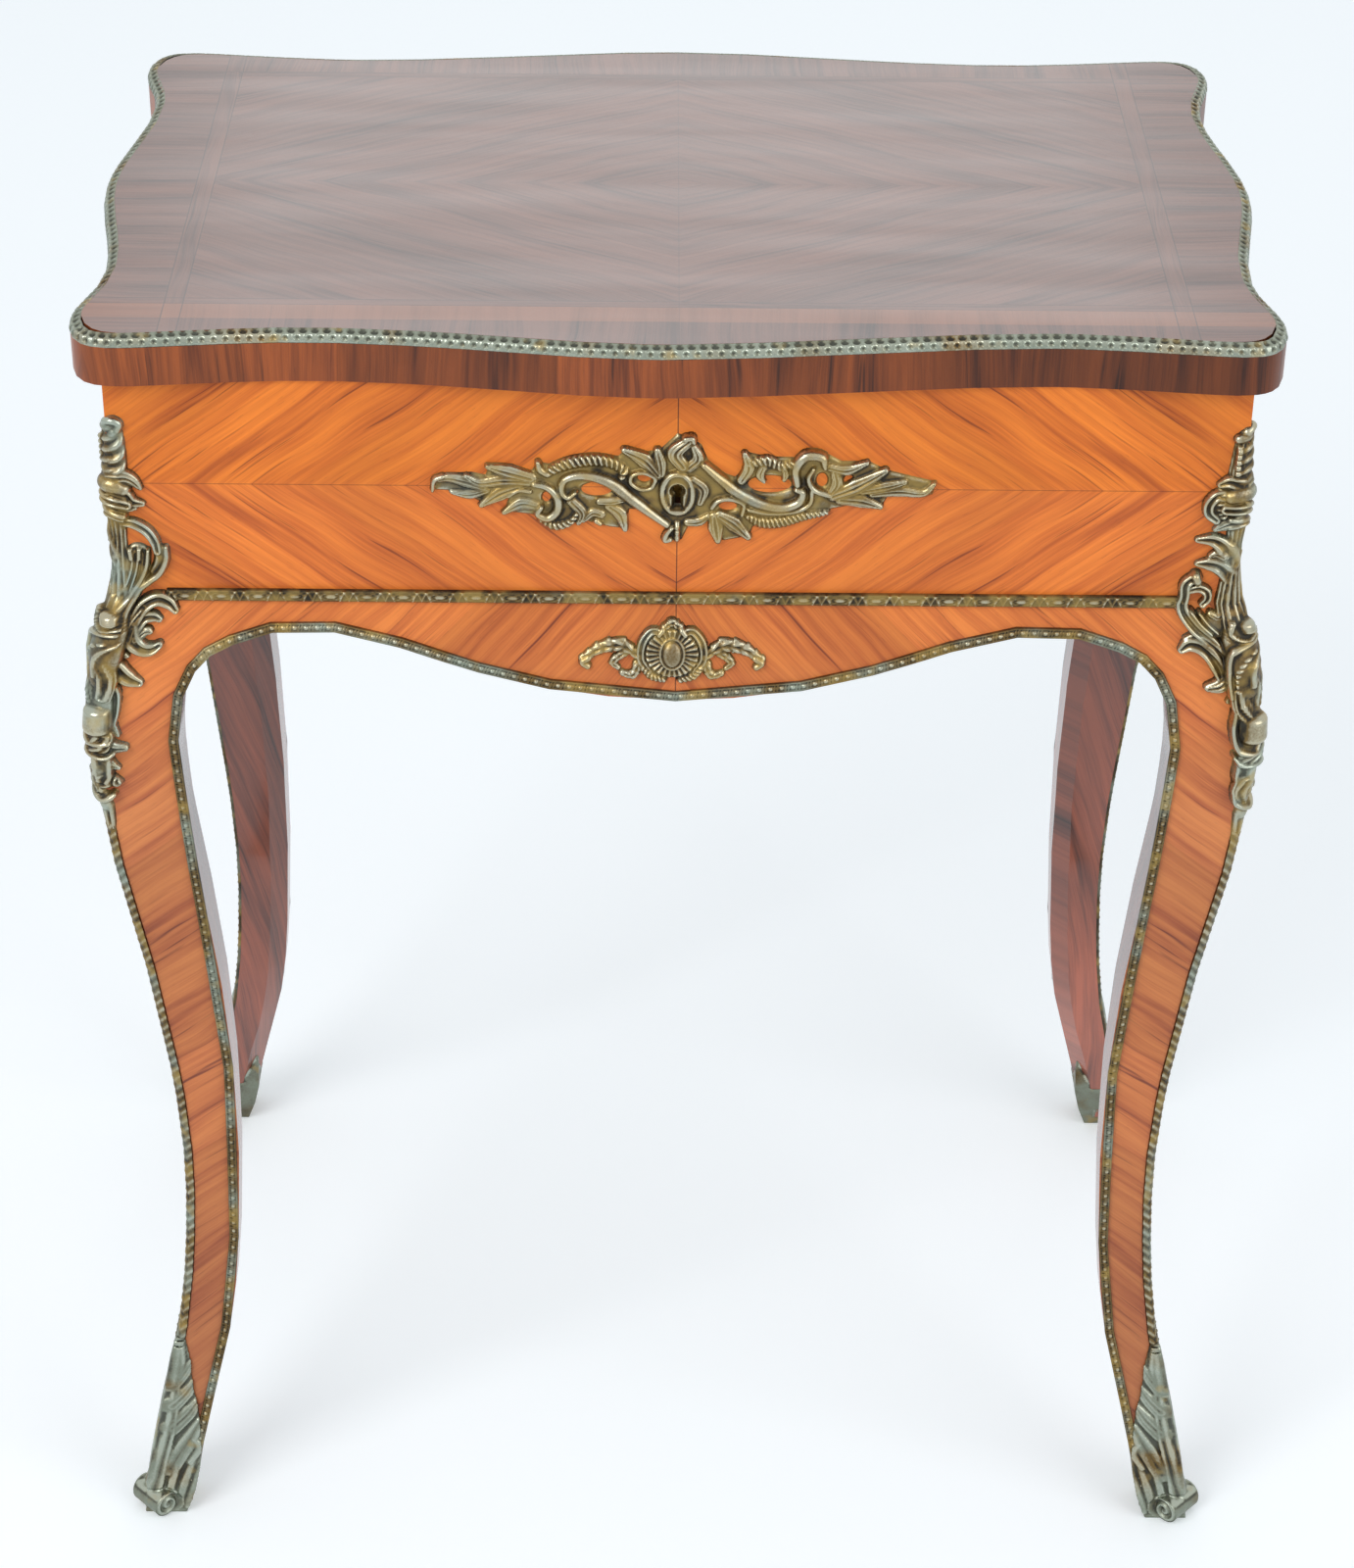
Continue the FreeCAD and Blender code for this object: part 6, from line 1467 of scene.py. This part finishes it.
# %% [markdown]
# Slotted screws in the hinges and the lock.
#
# A hand-made screw has a flat round head with one filed slot. One head is modelled, and a
# small tree sets a copy at each point, turned to face the way its plate faces. The slots
# point different ways, as they do when a person drives them.
# %% Screws
def screw_head(radius, proud, slot):
    """A flat head with a chamfered rim and one slot, facing up, cut into rows across y."""
    bend = np.linspace(-math.pi / 2, -math.asin(slot / radius), 7)
    # The slot's row carries 0, which the slotted finish paints as shade.
    rows = [(radius * math.sin(a), proud, 1.0) for a in bend] + [(-slot, 0.02, 0.0)]
    rows += [(-y, top, bright) for y, top, bright in reversed(rows)]
    place = []
    for y, top, bright in rows:
        half = math.sqrt(max(radius ** 2 - y ** 2, 0.0))
        rises = (-0.02, top / 2, top, top, top, top / 2, -0.02)
        for share, rise in zip((-1, -1, -0.9, 0, 0.9, 1, 1), rises):
            place.append((half * share, y, rise))
    wear_and_painted_light = np.repeat([bright for y, top, bright in rows], 7)
    return np.array(place) * MM, grid_faces(len(rows), 7), wear_and_painted_light


def screw_tree():
    """A copy of the screw at each point, facing as the point says and turned by chance."""
    tree, given = geometry_tree("screws_at_points", Head="Object", Finish="Material", Seed="Int")
    part = box("GeometryNodeObjectInfo", Object=given["Head"], result="Geometry")
    stand = box("FunctionNodeAlignRotationToVector", Vector=kept_facing(tree), setup={"axis": "Z"})
    chance = box("FunctionNodeRandomValue", Seed=given["Seed"], result=1, setup={"data_type": "FLOAT"})
    turn = box("FunctionNodeRotateRotation", stand, joined(0.0, 0.0, chance * math.pi),
               setup={"rotation_space": "LOCAL"})
    laid = box("GeometryNodeInstanceOnPoints", Points=given["Geometry"], Instance=part, Rotation=turn)
    real = box("GeometryNodeRealizeInstances", laid)
    return close_tree(tree, box("GeometryNodeSetMaterial", Geometry=real, Material=given["Finish"]))

# %% [markdown]
# Where the screws sit.
#
# Their places follow the plates, whose boxes are read from the frame: three in each hinge
# leaf, two in the link plate, two in the lock's top plate and four in the lock's case.
# %% Setting the screws
def screw_kit(slot, colour, roughness, radius, gap):
    """A head to copy and its finish."""
    name = slot.replace("plain_", "") + "_screw"
    head = bpy.data.objects.new(name + "_head", mesh_from(name + "_head", *screw_head(radius, 0.10, gap)))
    return head, plain_metal(name, colour, roughness, True), slot


brass = screw_kit("plain_brass", (0.66, 0.48, 0.20), 0.28, 2.9, 0.35)
steel = screw_kit("steel", (0.46, 0.45, 0.43), 0.30, 2.3, 0.3)
screws = screw_tree()


def set_screws(name, kit, seed, body, rows):
    """Screws at places in mm, each row with its facing."""
    head, finish, slot = kit
    places, facings = zip(*rows)
    piece = path_object(name + "_points", [Vector(place) * MM for place in places], facings, False)
    give_tree(piece, screws, Head=head, Finish=finish, Seed=seed)
    data = made_plain(piece, name)
    data.shade_flat()
    shown(data, finish, body, None)
    print(name, len(rows))


def box_mm(name):
    """Low and high corner of a solid in mm."""
    return np.array(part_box(name), float) / MM


UP = (0.0, 0.0, 1.0)
DOWN = (0.0, 0.0, -1.0)
BACK = (0.0, 1.0, 0.0)
low, high = box_mm("rear_panel")
leaf_middle = (low[1] + high[1]) / 2 + 1.0
rim_level = high[2]
lid_level = box_mm("lid_panel")[0][2]
hinge_x = []
for side in ("left", "right"):
    low, high = box_mm("hinge_leaf_box_" + side)
    hinge_x += [low[0] + share * (high[0] - low[0]) for share in (0.15, 0.50, 0.85)]
set_screws("hinge_screws_on_box", brass, 3, "table", [((x, leaf_middle, rim_level), UP) for x in hinge_x])
set_screws("hinge_screws_on_lid", brass, 5, "lid", [((x, leaf_middle, lid_level), DOWN) for x in hinge_x])
low, high = box_mm("lock_link_plate")
plate_y = (low[1] + high[1]) / 2
set_screws("link_plate_screws", steel, 7, "lid",
           [((x, plate_y, lid_level), DOWN) for x in (low[0] + 4.5, high[0] - 4.5)])
low, high = box_mm("lock_case")
on_top = [((x, low[1] + 6.0, rim_level), UP) for x in (low[0] + 5.5, high[0] - 5.5)]
on_case = [((x, high[1], level), BACK) for x in (low[0] + 6.0, high[0] - 6.0)
           for level in (low[2] + 7.0, high[2] - 13.0)]
set_screws("lock_screws", steel, 9, "table", on_top + on_case)
for head, finish, slot in (brass, steel):
    bpy.data.objects.remove(head)

# %% [markdown]
# The sabots: cast shoes with a leaf up the corner and a toe rolled like a scroll.
#
# The solid sabot gives the cup. A row of balls down the corner gives the swelling of the
# leaf, and a voxel remesh melts cup and balls into one even skin, as wax would. Strokes
# then raise the leaf's lobes on that skin, and a spiral is cut in each end of the toe.
# %% Sabots
# Distance out from the corner, level and radius of the balls, in mm
SABOT_SPINE = ((5.0, 66.0, 4.2), (8.0, 52.0, 5.4), (12.5, 38.0, 6.2), (18.5, 26.0, 6.6), (24.0, 17.0, 6.6))
SABOT_STROKES = (
    ("lobe", ((0.2, 84), (0.2, 97), (0.2, 110)), (5.6, 5, 2.2), (2.6, 2.8, 1.8)),
    ("lobe", ((1.5, 84), (5.8, 91), (8.4, 98)), (4.4, 3.6, 1.6), (2.4, 2.2, 1.5)),
    ("lobe", ((3, 70), (8.8, 78), (12.4, 86)), (5, 4.2, 1.8), (2.6, 2.5, 1.6)),
    ("lobe", ((5, 56), (12, 65), (16.4, 74)), (5.4, 4.8, 2), (2.6, 2.6, 1.8)),
    ("channel", ((8, 30), (14.4, 45), (19.6, 60)), (5.6, 5.6, 2.6), (2.6, 2.8, 1.8)),
    ("channel", ((2, 16), (3.2, 38), (4.2, 58), (3.2, 80)), (3, 3.2, 3, 2), (2.8, 3.2, 3, 2.2)),
    ("round", ((8.8, 10), (10.6, 26), (13.4, 42)), (2.8, 2.6, 1.6), (2.4, 2.6, 1.6)),
    ("round", ((14.8, 6), (17.2, 20), (20.4, 36)), (3, 2.8, 1.6), (2.2, 2.4, 1.4)),
    ("round", ((21, 5), (23.4, 18), (25.6, 32)), (2.8, 2.6, 1.8), (1.6, 1.8, 1.2)),
    ("round", ((19, 34), (22, 43), (18.2, 49)), (2.2, 2.4, 1.8), 2.4),
)
# Middle of the toe's roll, its radius and half width, and the pitch of its spiral, in mm
TOE = (19.0, 19.0, 8.2)
TOE_RADIUS = 8.2
TOE_HALF = 12.0
TOE_WINDING = 4.4
VOXEL = 0.0007
DIAGONAL = math.sqrt(2)


def sabot_wax():
    """Cup and leaf of the front left sabot as one even skin, with the corner at the origin."""
    shape = bmesh.new()
    shape.from_mesh(nodes["sabot_front_left"].data)
    bmesh.ops.remove_doubles(shape, verts=shape.verts, dist=0.000001)
    corner = Vector((BOX_HALF_WIDTH, BOX_HALF_DEPTH, 0.0)) * MM
    bmesh.ops.translate(shape, verts=shape.verts, vec=corner)
    line = bent_line([row[:2] for row in SABOT_SPINE], 4)
    sizes = np.interp(np.linspace(0, 4, len(line)), range(5), [row[2] for row in SABOT_SPINE])
    for (out, level), radius in zip(line, sizes):
        place = Matrix.Translation(Vector((-out / DIAGONAL, -out / DIAGONAL, level)) * MM)
        bmesh.ops.create_icosphere(shape, subdivisions=3, radius=radius * MM, matrix=place)
    data = bpy.data.meshes.new("sabot_blank")
    shape.to_mesh(data)
    shape.free()
    piece = bpy.data.objects.new("sabot_blank", data)
    scene.collection.objects.link(piece)
    skin = piece.modifiers.new("even_skin", "REMESH")
    skin.mode = "VOXEL"
    skin.voxel_size = VOXEL
    soften = piece.modifiers.new("soften", "SMOOTH")
    soften.factor = 0.5
    soften.iterations = 4
    return made_plain(piece, "sabot_wax")


def read_array(rows, label, width, kind=np.float32):
    """One property of all the points or corners of a mesh."""
    values = np.empty(len(rows) * width, kind)
    rows.foreach_get(label, values)
    return values.reshape(-1, width)


def cast_sabot():
    """Corners of the finished sabot in mm, its faces, and the wear and painted light of each corner."""
    data = sabot_wax()
    place = read_array(data.vertices, "co", 3).astype(float) / MM
    way = read_array(data.vertex_normals, "vector", 3)
    quads = read_array(data.loops, "vertex_index", 1, np.int32).reshape(-1, 4)
    sheet = Relief((-26.0, -2.0), (26.0, 114.0), 0.6)
    sheet.field[:] = 0.0
    for sign in (1, -1):
        sheet.strokes(SABOT_STROKES, sign)
    out = np.interp(place[:, 2], leg_levels, leg_out)
    a = place[:, 0] + out
    b = place[:, 1] + out
    turn = np.arctan2(ARRIS_RADIUS - b, ARRIS_RADIUS - a)
    round_s = (turn - math.pi / 4) * ARRIS_RADIUS
    s = np.where((a > ARRIS_RADIUS) & (a > b), a - ARRIS_RADIUS + ARRIS_HALF, round_s)
    s = np.where((b > ARRIS_RADIUS) & (b >= a), -(b - ARRIS_RADIUS + ARRIS_HALF), s)
    turn = np.clip(s / ARRIS_RADIUS, -math.pi / 4, math.pi / 4) + math.pi / 4
    faces_out = np.clip(-np.cos(turn) * way[:, 0] - np.sin(turn) * way[:, 1], 0, 1)
    lift = sheet.at(sheet.field, s, place[:, 2])
    wear_and_painted_light = np.where(faces_out > 0.1, sheet.at(sheet.wear_and_painted_light(), s, place[:, 2]), 0.3)
    # Inside the toe's cylinder the strokes end and the spiral begins
    from_toe = place + np.array(TOE) * (1, 1, -1)
    across = (from_toe[:, 0] - from_toe[:, 1]) / DIAGONAL
    ahead = -(from_toe[:, 0] + from_toe[:, 1]) / DIAGONAL
    ring = np.hypot(ahead, from_toe[:, 2])
    in_toe = np.clip((TOE_RADIUS + 1.2 - ring) / 1.2, 0, 1)
    place = place + way * (lift * faces_out * (1 - in_toe) * 0.75)[:, None]
    angle = np.arctan2(from_toe[:, 2], ahead)
    winding = 0.5 + 0.5 * np.cos(2 * math.pi * (ring / TOE_WINDING) - angle)
    at_end = np.clip((np.abs(across) - TOE_HALF + 1.6) / 1.2, 0, 1) * (ring < TOE_RADIUS + 0.6)
    groove = at_end * winding * 1.9 * np.clip((ring - 0.8) / 1.2, 0, 1)
    place[:, 0] -= np.sign(across) * groove / DIAGONAL
    place[:, 1] += np.sign(across) * groove / DIAGONAL
    # Dust and painted shade: the spiral's groove is dark and its crest light.
    wear_and_painted_light = np.where(at_end > 0.3, 0.85 - 0.8 * winding, wear_and_painted_light)
    bpy.data.meshes.remove(data)
    return place, quads, wear_and_painted_light


sabot_place, sabot_quads, sabot_wear_and_painted_light = cast_sabot()
for corner, side_x, side_y, quarter in CORNERS:
    where = turned_to_corner(sabot_place, quarter, side_x, side_y)
    data = mesh_from("cast_sabot_" + corner, where * MM, sabot_quads, sabot_wear_and_painted_light)
    shown(data, gilt_dusty, "table", "sabot_" + corner)
print("sabot faces:", len(sabot_quads))

# %% [markdown]
# A white studio with soft light from all round.
#
# The room is plain white to the camera and in reflections. What lights the table is set
# lower, so colours render about as written, and three large panels give it shape.
# %% Studio
LAMPS = (
    ("key_panel", (-1.7, -1.9, 2.3), 1.6, 34.0),
    ("fill_panel", (2.0, -1.5, 1.6), 1.8, 16.0),
    ("rear_panel", (0.2, 2.6, 2.4), 2.6, 9.0),
)
AIM = Vector((0.0, 0.0, 0.45))
FLOOR_HALF = 14.0
FLOOR_GLOW = 0.222


def one_for(tree, *kinds):
    """1 for rays of the given kinds, else 0."""
    rays = tree.nodes.new("ShaderNodeLightPath").outputs
    return most(*[Wire(tree, rays["Is " + kind + " Ray"]) for kind in kinds])


def studio_world():
    """White where it is seen, a little lower where it lights."""
    world = bpy.data.worlds.new("white_studio")
    scene.world = world
    world.use_nodes = True
    tree = world.node_tree
    tree.nodes.clear()
    lit = box("ShaderNodeBackground", (0.92, 0.96, 1.0), 0.62, tree=tree)
    seen = box("ShaderNodeBackground", (1.0, 1.0, 1.0), 1.0, tree=tree)
    either = box("ShaderNodeMixShader", one_for(tree, "Camera", "Glossy", "Transmission"), lit, seen)
    plug(tree.nodes.new("ShaderNodeOutputWorld").inputs["Surface"], either)


def studio_floor():
    """A wide floor that reads as white as the room."""
    material, shader, place, facing = new_material("studio_floor")
    glow = one_for(material.node_tree, "Camera", "Glossy") * FLOOR_GLOW
    paint(shader, Emission_Strength=glow, Emission_Color=(0.94, 0.99, 1.0),
          Base_Color=(0.90, 0.93, 0.95), Roughness=0.9, Specular_IOR_Level=0.1)
    corners = [(x * FLOOR_HALF, y * FLOOR_HALF, 0.0) for x, y in ((-1, -1), (1, -1), (1, 1), (-1, 1))]
    data = bpy.data.meshes.new("studio_floor")
    data.from_pydata(corners, [], [(0, 1, 2, 3)])
    data.materials.append(material)
    floor = bpy.data.objects.new("studio_floor", data)
    scene.collection.objects.link(floor)


studio_world()
studio_floor()
for name, place, size, power in LAMPS:
    data = bpy.data.lights.new(name, "AREA")
    data.shape = "SQUARE"
    data.size = size
    data.energy = power
    lamp = bpy.data.objects.new(name, data)
    lamp.location = place
    lamp.rotation_euler = (AIM - Vector(place)).to_track_quat("-Z", "Y").to_euler()
    scene.collection.objects.link(lamp)
print("lamps:", len(LAMPS))
